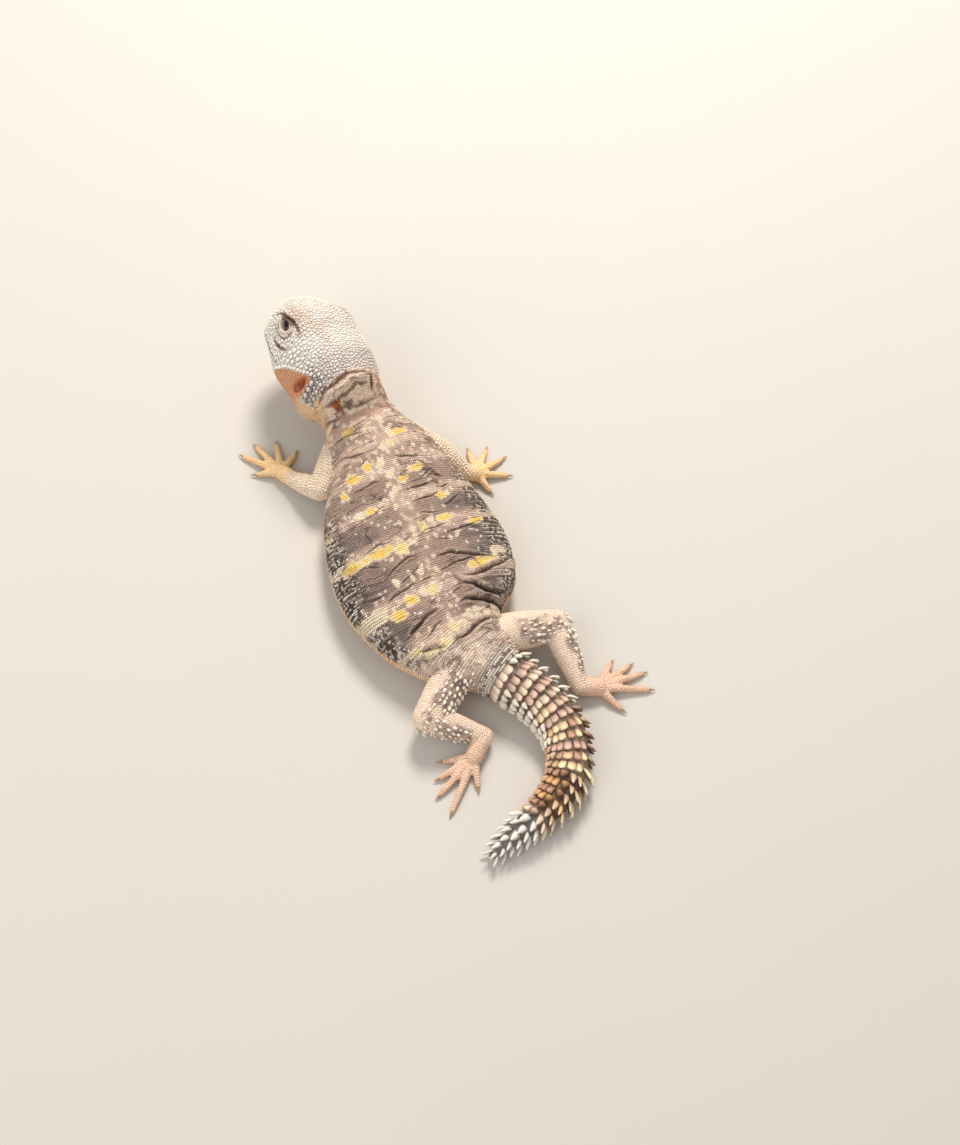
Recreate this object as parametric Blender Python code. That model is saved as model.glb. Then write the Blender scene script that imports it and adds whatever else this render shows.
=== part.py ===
"""An ornate spiny-tailed lizard (uromastyx) basking flat on the ground, life size.

Metres, +Z up. The floor is z = 0, and the origin lies under the middle of the belly, where the animal rests.
The body points along +Y, the tail curls round to the left, and the head looks ahead, tilted a little to its
right. Sizes below are in millimetres, in that frame, and each mesh is scaled to metres as it is made.
"""

import bmesh
import bpy
import numpy as np
from math import cos, pi, radians, sin
from mathutils import Matrix, Vector

MM = 0.001
GAP = 0.3

# Trunk and tail, from the shoulders back: x, y, height of the widest line, half width, rise above that line
# and drop below it. A drop that passes the floor makes the flat that the animal lies on.
TRUNK = [
    (4.4, 53.0, 13.4, 14.6, 9.6, 9.8),
    (5.0, 46.0, 11.4, 17.2, 11.0, 10.8),
    (5.4, 38.0, 9.6, 20.6, 12.2, 11.0),
    (4.0, 28.0, 9.0, 25.4, 12.6, 10.4),
    (1.6, 13.0, 8.4, 30.0, 12.8, 10.0),
    (0.0, -1.0, 8.2, 32.0, 12.8, 10.0),
    (-1.6, -14.0, 8.2, 30.6, 12.6, 10.0),
    (-2.4, -25.0, 8.4, 26.0, 12.0, 10.0),
    (-1.6, -33.0, 8.8, 20.4, 11.4, 10.0),
    (0.8, -40.0, 9.0, 14.6, 10.4, 10.0),
    (4.2, -46.5, 8.6, 10.6, 9.0, 9.6),
]
TAIL = [
    (4.2, -46.5, 8.6, 10.6, 9.0, 9.6),
    (7.4, -52.4, 8.0, 9.4, 7.6, 9.0),
    (13.4, -64.0, 7.0, 8.7, 6.2, 8.0),
    (15.6, -76.6, 6.2, 8.0, 5.4, 7.2),
    (11.2, -88.2, 5.6, 7.2, 4.8, 6.4),
    (2.0, -95.8, 4.9, 6.2, 4.2, 5.6),
    (-9.8, -99.4, 3.9, 4.4, 3.3, 4.4),
    (-18.6, -101.8, 3.0, 2.8, 2.4, 3.2),
    (-25.6, -104.0, 2.3, 1.1, 1.2, 1.4),
]
BODY_ROUND = 2.3
TRUNK_SIDES = 26
TRUNK_STEPS = 2
TAIL_SIDES = 16
WHORL_COUNT = 22
WHORL_LONG = 5.0
WHORL_SHORT = 3.1
WHORL_LOW = 0.91
WHORL_HIGH = 1.05
WHORL_EDGE = 1.02
WHORL_CREST = 0.72
WHORL_FALL = 0.05
TAIL_NODES = (("tail_base", 0, 8), ("tail_middle", 8, 16), ("tail_tip", 16, 22))

# Head, in its own frame: origin between the ears, y ahead and z up. Rows of y, top, bottom, half width,
# height of the widest line, then how square the section is above and below that line.
HEAD_ORIGIN = (0.85, 69.9, 25.3)
HEAD_YAW = radians(8)
HEAD_PITCH = radians(-2)
HEAD_ROLL = radians(28)
HEAD = [
    (-7.0, 12.4, -13.4, 13.8, -1.0, 2.3, 2.3),
    (-3.0, 13.8, -13.6, 15.0, -1.0, 2.4, 2.3),
    (3.0, 15.0, -13.6, 16.2, -1.0, 2.5, 2.3),
    (9.5, 15.6, -13.0, 16.6, -1.2, 2.6, 2.2),
    (15.5, 16.4, -12.0, 16.0, -1.4, 2.8, 2.1),
    (20.5, 16.4, -10.6, 14.8, -1.6, 2.9, 2.0),
    (25.0, 15.4, -9.2, 13.2, -1.8, 2.8, 2.0),
    (29.0, 13.8, -8.0, 11.6, -2.0, 2.6, 2.0),
    (32.0, 11.6, -7.0, 9.8, -2.2, 2.4, 2.0),
    (34.2, 8.6, -6.0, 7.6, -2.4, 2.3, 2.0),
    (35.6, 5.2, -5.0, 5.2, -2.6, 2.2, 2.0),
    (36.2, 1.6, -4.2, 2.6, -2.8, 2.1, 2.0),
]
HEAD_SIDES = 32
HEAD_STEPS = 2
# Swellings on both sides of the head: middle, spread and height. In order: brow, cheek, jaw, throat pouch,
# and the hollow under the eye.
SWELLS = [
    ((11.8, 20.0, 13.6), (4.0, 6.5, 3.2), 1.6),
    ((15.5, 6.0, -5.0), (5.0, 6.0, 5.0), 1.0),
    ((12.0, 15.0, -10.0), (5.0, 6.5, 4.5), 1.6),
    ((4.5, 1.0, -14.0), (8.0, 5.0, 6.0), 4.2),
    ((13.5, 23.0, 3.0), (4.0, 4.5, 3.0), -0.7),
]
EYE_CENTRE = (10.0, 20.3, 9.2)
EYE_RADIUS = 3.6
EYE_SEGMENTS = 14
LID_THICK = 0.6
LID_OPENING = (4.2, 3.0, 2.1)
LID_OPENING_SHIFT = (4.2, 0.0, 0.5)
EAR_CENTRE = (16.4, 0.9, -1.1)
EAR_SIZE = (3.8, 2.1, 5.8)
EAR_LEAN = radians(10)
NOSTRIL_AHEAD = 31.6
NOSTRIL_HEIGHT = 3.8
NOSTRIL_SIZE = 0.8
NOSTRIL_SEGMENTS = 8
MOUTH_HEIGHT = -3.0
MOUTH_AHEAD = (10.5, 15.0, 20.0, 24.5, 28.5, 31.8, 34.0, 35.5)
MOUTH_TIP = 36.4
MOUTH_DEEP = 0.5
LIP_THICK = 0.9
LIP_IN = 0.6
MOUTH_SIDES = 6
NECK_STEPS = 5
NECK_WAIST = 0.95

# Spines of the tail, set round the rear edge of each whorl: length on top, length at the sides, width of the
# root, how deep the root is sunk, and how far a spine stands out for each unit that it points back.
SPINE_TOP = 1.3
SPINE_SIDE = 3.1
SPINE_WIDE = 0.44
SPINE_SUNK = 1.2
SPINE_OUT_TOP = 0.55
SPINE_OUT_SIDE = 1.05
SPINE_SIDES = 4
SPINES_FIRST = 11
SPINES_LAST = 5
SPINE_VARIES = 0.22
SPINE_LOWEST = 0.5
THIGH_WHORLS = 2
THIGH_SHARE = 0.5
SEED = 7

# Legs: joints as x, y, z, radii at the joints, then each toe's tip from the thumb outward.
LEGS = {
    "foreleg_left": {
        "joints": ((-4.0, 54.0, 12.0), (-19.0, 40.5, 8.8), (-24.6, 51.0, 3.8), (-27.0, 56.6, 2.6)),
        "radii": (5.4, 4.2, 2.9, 2.9),
        "tips": ((-19.0, 62.5), (-23.5, 69.0), (-30.5, 71.0), (-36.2, 69.0), (-35.0, 60.0)),
    },
    "foreleg_right": {
        "joints": ((14.0, 52.0, 12.0), (27.0, 38.5, 8.8), (33.0, 28.0, 3.8), (36.4, 27.0, 2.6)),
        "radii": (5.4, 4.2, 2.9, 2.9),
        "tips": ((38.6, 37.6), (44.6, 35.4), (48.4, 29.6), (46.8, 22.4), (38.0, 19.0)),
    },
    "hindleg_left": {
        "joints": ((2.0, -37.0, 10.0), (-23.6, -54.6, 8.8), (-8.4, -66.4, 3.8), (-14.4, -71.0, 2.6)),
        "radii": (7.0, 5.2, 3.1, 3.1),
        "tips": ((-24.0, -67.6), (-27.6, -72.4), (-30.0, -77.6), (-29.0, -84.4), (-17.6, -80.6)),
        "outward": (-0.5, -0.3, 1.0),
    },
    "hindleg_right": {
        "joints": ((8.0, -37.0, 10.0), (31.0, -42.0, 8.8), (29.0, -64.0, 3.8), (34.6, -66.4, 2.6)),
        "radii": (7.0, 5.2, 3.1, 3.1),
        "tips": ((43.6, -60.0), (48.8, -63.4), (51.6, -67.8), (50.6, -74.0), (38.6, -76.4)),
        "outward": (0.6, -0.2, 1.0),
    },
}
SEGMENTS = {"foreleg": ("upper_arm", "forearm", "hand"), "hindleg": ("thigh", "shin", "foot")}
LIMB_SIDES = 12
LIMB_BULGE = 0.1
TOE_SIDES = 7
TOE_RADII = (1.6, 1.35, 1.15, 0.95)
TOE_HEIGHTS = (2.0, 1.9, 1.25, 0.9)
TOE_SPREAD = 1.7
CLAW_LONG = 2.3
CLAW_THICK = 0.6
CLAW_SIDES = 6
CLAW_BEND = ((0.4, 0.1), (0.75, -0.1), (1.0, -0.45))
CLAW_TAPER = (1.0, 0.85, 0.5, 0.2)

# Pale cones on the hind legs: rows along the segment, cones in a row, root radius, height and sunk depth.
TUBERCLE_ROWS = 5
TUBERCLES = 4
THIGH_TUBERCLES = (0.5, 0.78)
SHIN_TUBERCLES = (0.3, 0.74)
TUBERCLE_APART = radians(34)
TUBERCLE_WIDE = 0.9
TUBERCLE_HIGH = 0.7
TUBERCLE_SUNK = 0.9
TUBERCLE_SIDES = 5

COLOURS = {
    "head": (0.62, 0.55, 0.47),
    "neck": (0.36, 0.29, 0.23),
    "trunk": (0.17, 0.13, 0.10),
    "tail": (0.50, 0.38, 0.27),
    "foreleg": (0.62, 0.46, 0.31),
    "hindleg": (0.55, 0.40, 0.30),
    "claw": (0.05, 0.035, 0.025),
    "eye": (0.03, 0.02, 0.01),
}
SKIN_ROUGHNESS = 0.65
HARD_ROUGHNESS = 0.25


def clear_scene():
    for thing in list(bpy.data.objects):
        bpy.data.objects.remove(thing)


def new_collection(name):
    collection = bpy.data.collections.new(name)
    bpy.context.scene.collection.children.link(collection)
    return collection


def finish(name, colour, roughness):
    material = bpy.data.materials.new(name)
    material.use_nodes = True
    shader = material.node_tree.nodes["Principled BSDF"]
    shader.inputs["Base Color"].default_value = (*colour, 1.0)
    shader.inputs["Roughness"].default_value = roughness
    shader.inputs["Metallic"].default_value = 0.0
    return material


def smooth_rows(rows, steps):
    """Rows of a table with steps - 1 more set between each pair, on a Catmull-Rom curve through them all."""
    rows = np.array(rows, float)
    padded = np.vstack([2 * rows[0] - rows[1], rows, 2 * rows[-1] - rows[-2]])
    finer = []
    for before, start, end, after in zip(padded, padded[1:], padded[2:], padded[3:]):
        for t in np.arange(steps) / steps:
            finer.append(
                0.5
                * (
                    2 * start
                    + (end - before) * t
                    + (2 * before - 5 * start + 4 * end - after) * t**2
                    + (3 * start - before - 3 * end + after) * t**3
                )
            )
    finer.append(rows[-1])
    return np.array(finer)


def outline(half_width, rise, drop, roundness, sides):
    """Points across a section: sideways and up, counterclockwise, on two superellipse halves."""
    points = []
    for k in range(sides):
        angle = 2 * pi * (k + 0.5) / sides
        across = abs(cos(angle)) ** (2 / roundness) * (1 if cos(angle) >= 0 else -1)
        upward = abs(sin(angle)) ** (2 / roundness) * (1 if sin(angle) >= 0 else -1)
        points.append((half_width * across, (rise if upward >= 0 else drop) * upward))
    return points


def directions(centres):
    """The way along a path at each of its points, level with the floor."""
    along = np.gradient(np.array(centres, float), axis=0)
    along[:, 2] = 0
    return along / np.linalg.norm(along, axis=1)[:, None]


def level_ring(row, along, sides, scale=1.0):
    """One upright ring of the trunk or tail, its underside laid on the floor."""
    x, y, height, half_width, rise, drop = row
    centre = np.array((x, y, height))
    right = np.array((-along[1], along[0], 0))
    ring = []
    for across, upward in outline(half_width * scale, rise * scale, drop, BODY_ROUND, sides):
        point = centre + right * across + np.array((0, 0, upward))
        point[2] = max(point[2], 0.0)
        ring.append(point)
    return ring


def mesh_object(name, collection, vertices, faces):
    mesh = bpy.data.meshes.new(name)
    mesh.from_pydata([Vector(v) * MM for v in vertices], [], faces)
    work = bmesh.new()
    work.from_mesh(mesh)
    bmesh.ops.remove_doubles(work, verts=work.verts, dist=0.002 * MM)
    bmesh.ops.dissolve_degenerate(work, edges=work.edges, dist=0.002 * MM)
    bmesh.ops.recalc_face_normals(work, faces=work.faces)
    work.to_mesh(mesh)
    work.free()
    made = bpy.data.objects.new(name, mesh)
    collection.objects.link(made)
    return made


def loft(name, collection, rings):
    """A closed skin over rings of equal count, with flat ends."""
    sides = len(rings[0])
    faces = [tuple(range(sides)), tuple(range((len(rings) - 1) * sides, len(rings) * sides))]
    for i in range(len(rings) - 1):
        for k in range(sides):
            n = (k + 1) % sides
            faces.append((i * sides + k, i * sides + n, (i + 1) * sides + n, (i + 1) * sides + k))
    return mesh_object(name, collection, [point for ring in rings for point in ring], faces)


def around(axis):
    """Two directions square to an axis, the second as near upright as it can be."""
    axis = Vector(axis).normalized()
    side = axis.cross(Vector((0, 0, 1)))
    if side.length < 1e-6:
        side = Vector((1, 0, 0))
    side.normalize()
    return side, side.cross(axis)


def rod(name, collection, start, end, start_radius, end_radius, sides=LIMB_SIDES, bulge=0.0):
    """A tapered rod with rounded ends, thicker at its middle by the share called bulge."""
    start, end = Vector(start), Vector(end)
    axis = (end - start).normalized()
    side, up = around(axis)
    length = (end - start).length
    places = [(-start_radius * cos(a), start_radius * sin(a)) for a in (radians(12), radians(50))]
    for t in (0.0, 0.33, 0.67, 1.0):
        radius = (start_radius + (end_radius - start_radius) * t) * (1 + bulge * sin(pi * t))
        places.append((length * t, radius))
    places += [(length + end_radius * cos(a), end_radius * sin(a)) for a in (radians(50), radians(12))]
    rings = []
    for along, radius in places:
        middle = start + axis * along
        turns = [2 * pi * (k + 0.5) / sides for k in range(sides)]
        rings.append([middle + side * (radius * cos(a)) + up * (radius * sin(a)) for a in turns])
    return loft(name, collection, rings)


def tube(name, collection, points, radii, sides):
    """A tube through points, one ring square to the path at each."""
    points = [Vector(p) for p in points]
    rings = []
    for i, (point, radius) in enumerate(zip(points, radii)):
        axis = points[min(i + 1, len(points) - 1)] - points[max(i - 1, 0)]
        side, up = around(axis)
        turns = [2 * pi * (k + 0.5) / sides for k in range(sides)]
        rings.append([point + side * (radius * cos(a)) + up * (radius * sin(a)) for a in turns])
    return loft(name, collection, rings)


def ball(name, collection, centre, sizes, segments=14, turn=None):
    """An ellipsoid made from a primitive sphere."""
    work = bmesh.new()
    bmesh.ops.create_uvsphere(work, u_segments=segments, v_segments=segments // 2 + 2, radius=1.0)
    stretch = Matrix.Diagonal((sizes[0] * MM, sizes[1] * MM, sizes[2] * MM, 1.0))
    place = Matrix.Translation(Vector(centre) * MM)
    bmesh.ops.transform(work, matrix=place @ (turn or Matrix.Identity(4)) @ stretch, verts=work.verts)
    mesh = bpy.data.meshes.new(name)
    work.to_mesh(mesh)
    work.free()
    made = bpy.data.objects.new(name, mesh)
    collection.objects.link(made)
    return made


def apply_modifiers(thing):
    graph = bpy.context.evaluated_depsgraph_get()
    mesh = bpy.data.meshes.new_from_object(thing.evaluated_get(graph))
    thing.modifiers.clear()
    thing.data = mesh


def combine(thing, pieces, operation, solver="EXACT"):
    """Joins or cuts a mesh by a list of others, which are then removed."""
    helpers = bpy.data.collections.new("helpers")
    for piece in pieces:
        helpers.objects.link(piece)
    boolean = thing.modifiers.new(operation.title(), "BOOLEAN")
    boolean.operation = operation
    boolean.operand_type = "COLLECTION"
    boolean.collection = helpers
    boolean.solver = solver
    apply_modifiers(thing)
    for piece in pieces:
        bpy.data.objects.remove(piece)
    bpy.data.collections.remove(helpers)
    keep_largest(thing)


def keep_largest(thing):
    """Drops every loose scrap or sealed hollow, and leaves the one largest surface."""
    work = bmesh.new()
    work.from_mesh(thing.data)
    work.verts.ensure_lookup_table()
    unseen = set(work.verts)
    shells = []
    while unseen:
        shell = {unseen.pop()}
        edge = list(shell)
        while edge:
            near = {e.other_vert(v) for v in edge for e in v.link_edges} & unseen
            unseen -= near
            shell |= near
            edge = list(near)
        shells.append(shell)
    spans = [max(v.co.x for v in s) - min(v.co.x for v in s) + len(s) * 1e-9 for s in shells]
    sizes = [span + max(v.co.y for v in s) - min(v.co.y for v in s) for span, s in zip(spans, shells)]
    largest = shells[sizes.index(max(sizes))]
    bmesh.ops.delete(work, geom=[v for v in work.verts if v not in largest], context="VERTS")
    work.to_mesh(thing.data)
    work.free()


def slice_flat(thing, point, normal):
    """Cuts away all that lies beyond a plane, on the side that its normal points to, and closes the cut."""
    work = bmesh.new()
    work.from_mesh(thing.data)
    everything = work.verts[:] + work.edges[:] + work.faces[:]
    bmesh.ops.bisect_plane(
        work,
        geom=everything,
        dist=0.001 * MM,
        plane_co=Vector(point) * MM,
        plane_no=Vector(normal),
        clear_outer=True,
    )
    rim = [edge for edge in work.edges if edge.is_boundary]
    bmesh.ops.holes_fill(work, edges=rim, sides=0)
    bmesh.ops.recalc_face_normals(work, faces=work.faces)
    work.to_mesh(thing.data)
    work.free()


def grown(thing, collection):
    """A copy of a piece, larger by the gap all round, for cutting its neighbours clear of it."""
    work = bmesh.new()
    work.from_mesh(thing.data)
    work.normal_update()
    moves = [(vertex, vertex.normal * vertex.calc_shell_factor() * GAP * MM) for vertex in work.verts]
    for vertex, move in moves:
        vertex.co += move
    mesh = bpy.data.meshes.new("grown")
    work.to_mesh(mesh)
    work.free()
    made = bpy.data.objects.new("grown", mesh)
    collection.objects.link(made)
    return made


def dress(thing, material):
    thing.data.materials.clear()
    thing.data.materials.append(material)
    thing.data.shade_smooth()
    thing.data.set_sharp_from_angle(angle=radians(50))


def head_frame():
    turn = Matrix.Rotation(HEAD_YAW, 4, "Z") @ Matrix.Rotation(HEAD_PITCH, 4, "X")
    turn = turn @ Matrix.Rotation(HEAD_ROLL, 4, "Y")
    return Matrix.Translation(Vector(HEAD_ORIGIN)) @ turn


def head_rings():
    """Rings of the head, in its frame: plain sections, then swollen outward where it bulges."""
    rings = []
    for y, top, bottom, half_width, height, above, below in smooth_rows(HEAD, HEAD_STEPS):
        upper = outline(half_width, top - height, height - bottom, above, HEAD_SIDES)
        lower = outline(half_width, top - height, height - bottom, below, HEAD_SIDES)
        points = [high if high[1] >= 0 else low for high, low in zip(upper, lower)]
        rings.append([(across, y, height + upward) for across, upward in points])
    rings = np.array(rings)
    around_it = np.roll(rings, -1, axis=1) - np.roll(rings, 1, axis=1)
    outward = np.cross(np.gradient(rings, axis=0), around_it)
    outward /= np.linalg.norm(outward, axis=2)[:, :, None]
    swell = np.zeros(rings.shape[:2])
    for middle, spread, size in SWELLS:
        for place in both_sides(middle):
            swell += size * np.exp(-((((rings - place) / spread) ** 2).sum(axis=2)))
    return rings + outward * swell[:, :, None]


def head_side(rings, y, z):
    """How far the right side of the head stands out from its middle, at a place ahead and a height."""
    widths = []
    for ring in rings:
        right = ring[ring[:, 0] > 0]
        right = right[np.argsort(right[:, 2])]
        widths.append(np.interp(z, right[:, 2], right[:, 0]))
    return np.interp(y, rings[:, :, 1].mean(axis=1), widths)


def mouth_path(rings, sunk):
    """Points of the line of the mouth, from one corner round the snout to the other."""
    right = [(head_side(rings, y, MOUTH_HEIGHT) - sunk, y, MOUTH_HEIGHT) for y in MOUTH_AHEAD]
    left = [(-x, y, z) for x, y, z in reversed(right)]
    return right + [(0.0, MOUTH_TIP - sunk, MOUTH_HEIGHT)] + left


def both_sides(place):
    x, y, z = place
    return ((x, y, z), (-x, y, z))


def build_head(collection):
    """The head with its lips and lids joined on, and its sockets, ears, nostrils and mouth cut in."""
    rings = head_rings()
    head = loft("head", collection, rings)
    lid_radius = EYE_RADIUS + GAP + LID_THICK
    eyes = both_sides(EYE_CENTRE)
    lids = [ball("lid", collection, place, (lid_radius,) * 3, EYE_SEGMENTS) for place in eyes]
    path = mouth_path(rings, LIP_IN)
    lips = tube("lips", collection, path, [LIP_THICK] * len(path), MOUTH_SIDES)
    combine(head, lids + [lips], "UNION")
    cutters = [ball("socket", collection, place, (EYE_RADIUS + GAP,) * 3, EYE_SEGMENTS) for place in eyes]
    openings = both_sides([at + shift for at, shift in zip(EYE_CENTRE, LID_OPENING_SHIFT)])
    cutters += [ball("opening", collection, place, LID_OPENING, EYE_SEGMENTS) for place in openings]
    lean = Matrix.Rotation(EAR_LEAN, 4, "X")
    cutters += [ball("ear", collection, place, EAR_SIZE, turn=lean) for place in both_sides(EAR_CENTRE)]
    side = head_side(rings, NOSTRIL_AHEAD, NOSTRIL_HEIGHT)
    for place in both_sides((side, NOSTRIL_AHEAD, NOSTRIL_HEIGHT)):
        cutters.append(ball("nostril", collection, place, (NOSTRIL_SIZE,) * 3, NOSTRIL_SEGMENTS))
    path = mouth_path(rings, -LIP_THICK + LIP_IN)
    cutters.append(tube("mouth", collection, path, [MOUTH_DEEP] * len(path), MOUTH_SIDES))
    combine(head, cutters, "DIFFERENCE")
    set_on_neck(head)
    return head


def set_on_neck(thing):
    """Moves a piece from the head's frame to where the head is held."""
    place = head_frame()
    place.translation *= MM
    thing.data.transform(place)


def build_eye(name, collection, centre):
    eye = ball(name, collection, centre, (EYE_RADIUS,) * 3, EYE_SEGMENTS)
    set_on_neck(eye)
    return eye


def build_neck(collection, trunk_ring, trunk_along):
    """Rings from the front of the trunk to the back of the head, on curves that meet both squarely."""
    frame = head_frame()
    last = [frame @ Vector(point) for point in head_rings()[0]]
    ahead = (frame.to_3x3() @ Vector((0, 1, 0))).normalized()
    back = Vector(trunk_along)
    first = resample(trunk_ring, HEAD_SIDES)
    last = resample(last, HEAD_SIDES)
    middle = sum(last, Vector()) / len(last)
    reach = (middle - sum(first, Vector()) / len(first)).length
    rings = []
    for i in range(NECK_STEPS + 1):
        t = i / NECK_STEPS
        ring = []
        for start, end in zip(first, last):
            start = start - back * GAP
            end = end - ahead * GAP
            point = (
                start * (2 * t**3 - 3 * t**2 + 1)
                - back * reach * (t**3 - 2 * t**2 + t)
                + end * (3 * t**2 - 2 * t**3)
                + ahead * reach * (t**3 - t**2)
            )
            ring.append(point)
        centre = sum(ring, Vector()) / len(ring)
        waist = 1 - (1 - NECK_WAIST) * sin(pi * t)
        ring = [centre + (point - centre) * waist for point in ring]
        rings.append([Vector((p.x, p.y, max(p.z, 0.0))) for p in ring])
    return loft("neck", collection, rings)


def resample(ring, count):
    """The same closed ring with another count of points, starting level at its right and evenly spread."""
    points = [Vector(p) for p in ring]
    points.append(points[0])
    lengths = np.cumsum([0] + [(b - a).length for a, b in zip(points, points[1:])])
    table = np.array([tuple(p) for p in points])
    wanted = np.arange(count) / count * lengths[-1]
    return [Vector([np.interp(w, lengths, table[:, axis]) for axis in range(3)]) for w in wanted]


def build_trunk(collection):
    rows = smooth_rows(TRUNK, TRUNK_STEPS)
    along = directions(rows[:, :3])
    rings = [level_ring(row, way, TRUNK_SIDES) for row, way in zip(rows, along)]
    return loft("trunk", collection, rings), rings[0], along[0]


def tail_path():
    """The tail's fine rows, how far along it each lies, its ways, and where its whorls part."""
    rows = smooth_rows(TAIL, 8)
    reach = np.concatenate([[0], np.cumsum(np.linalg.norm(np.diff(rows[:, :3], axis=0), axis=1))])
    shares = np.linspace(WHORL_LONG, WHORL_SHORT, WHORL_COUNT)
    edges = np.concatenate([[0], np.cumsum(shares)]) / shares.sum() * (reach[-1] - GAP) + GAP
    return rows, reach, directions(rows[:, :3]), edges


def tail_ring(path, distance, scale):
    """One ring of the tail at a distance from its root, with the way that the tail runs there."""
    rows, reach, along, _ = path
    row = [np.interp(distance, reach, rows[:, k]) for k in range(rows.shape[1])]
    way = np.array([np.interp(distance, reach, along[:, k]) for k in range(3)])
    way /= np.linalg.norm(way)
    return level_ring(row, way, TAIL_SIDES, scale=scale), way


def build_tail(collection, path):
    """Three lengths of tail, ringed by whorls that each rise to their rear edge."""
    edges = path[3]
    made = []
    for name, first, last in TAIL_NODES:
        rings = []
        for i in range(first, last):
            long = edges[i + 1] - edges[i]
            inset = GAP / 2 if i == first and first else 0.0
            outset = GAP if i == last - 1 else WHORL_FALL * long
            for distance, scale in (
                (edges[i] + inset, WHORL_LOW),
                (edges[i] + WHORL_CREST * long, WHORL_HIGH),
                (edges[i + 1] - outset, WHORL_EDGE),
            ):
                rings.append(tail_ring(path, distance, scale)[0])
        made.append(loft(name, collection, rings))
    return made


def cone(name, collection, root, tip, radius, sides):
    """A closed cone with its base at the root."""
    root, tip = Vector(root), Vector(tip)
    side, up = around(tip - root)
    turns = [2 * pi * (k + 0.5) / sides for k in range(sides)]
    base = [root + side * (radius * cos(a)) + up * (radius * sin(a)) for a in turns]
    faces = [tuple(range(sides))] + [(k, (k + 1) % sides, sides) for k in range(sides)]
    return mesh_object(name, collection, base + [tip], faces)


def tail_spines(collection, path, first, last, chance):
    """The spines of some whorls: long at the sides, short on top, none underneath or against the thighs."""
    edges = path[3]
    spines = []
    for i in range(first, last):
        long = edges[i + 1] - edges[i]
        back_by = WHORL_CREST * long
        ring, way = tail_ring(path, edges[i] + back_by, WHORL_HIGH)
        ring = np.array(ring)
        centre = ring.mean(axis=0)
        count = round(SPINES_FIRST + (SPINES_LAST - SPINES_FIRST) * i / (WHORL_COUNT - 1))
        size = long / WHORL_LONG
        angles = np.arctan2(ring[:, 2] - centre[2], (ring - centre) @ np.array((-way[1], way[0], 0)))
        order = np.argsort(angles)
        for k in range(count):
            turn = pi * (k + 0.5 * (i % 2) + 0.25) / (count - 0.25)
            point = [np.interp(turn, angles[order], ring[order, axis]) for axis in range(3)]
            out = Vector(point) - Vector(centre)
            out.normalize()
            side_share = abs(cos(turn)) ** 1.5
            if i < THIGH_WHORLS and side_share > THIGH_SHARE:
                continue
            varied = 1 + SPINE_VARIES * chance.uniform(-1, 1)
            length = (SPINE_TOP + (SPINE_SIDE - SPINE_TOP) * side_share) * size * varied
            stands = SPINE_OUT_TOP + (SPINE_OUT_SIDE - SPINE_OUT_TOP) * side_share
            aim = (Vector(way) + out * stands).normalized()
            tip = Vector(point) + aim * length
            tip.z = max(tip.z, SPINE_LOWEST)
            root = Vector(point) - aim * SPINE_SUNK * size
            radius = SPINE_WIDE * pi * (Vector(point) - Vector(centre)).length / count
            root.z = max(root.z, radius)
            spines.append(cone("spine", collection, root, tip, radius, SPINE_SIDES))
    return spines


def split_normal(before, joint, after):
    """The normal of the plane that parts two limb segments evenly at their joint."""
    first = (Vector(joint) - Vector(before)).normalized()
    second = (Vector(after) - Vector(joint)).normalized()
    return (first + second).normalized()


def trim_rod(rod_object, joint, normal, keep_before):
    """Leaves the part of a rod before or after its joint, half the gap short of it."""
    normal = Vector(normal) if keep_before else -Vector(normal)
    slice_flat(rod_object, Vector(joint) - normal * GAP / 2, normal)


def toe_points(palm, tip, spread):
    """A toe's knuckles: out of the palm, up over the first joint, and down to the floor."""
    palm, tip = Vector(palm), Vector((tip[0], tip[1], 0))
    flat = Vector((tip.x - palm.x, tip.y - palm.y, 0))
    start = Vector((palm.x, palm.y, 0)) + flat.normalized() * spread
    points = []
    for share, height in zip((0.0, 0.4, 0.75, 1.0), TOE_HEIGHTS):
        point = start + (tip - start) * share
        points.append(Vector((point.x, point.y, height)))
    return points


def leg_tubercles(collection, start, end, radii, outward, between):
    """Rows of low cones on the upper and outer face of a leg segment."""
    start, end = Vector(start), Vector(end)
    axis = (end - start).normalized()
    out = (Vector(outward) - axis * Vector(outward).dot(axis)).normalized()
    other = axis.cross(out)
    cones = []
    for row in range(TUBERCLE_ROWS):
        share = between[0] + (between[1] - between[0]) * row / (TUBERCLE_ROWS - 1)
        radius = (radii[0] + (radii[1] - radii[0]) * share) * (1 + LIMB_BULGE * sin(pi * share))
        for k in range(TUBERCLES):
            turn = TUBERCLE_APART * (k - (TUBERCLES - 1) / 2 + 0.5 * (row % 2) - 0.25)
            way = out * cos(turn) + other * sin(turn)
            middle = start + (end - start) * share
            root = middle + way * (radius - TUBERCLE_SUNK)
            tip = middle + way * (radius + TUBERCLE_HIGH) + axis * (TUBERCLE_HIGH / 2)
            cones.append(cone("tubercle", collection, root, tip, TUBERCLE_WIDE, TUBERCLE_SIDES))
    return cones


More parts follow.
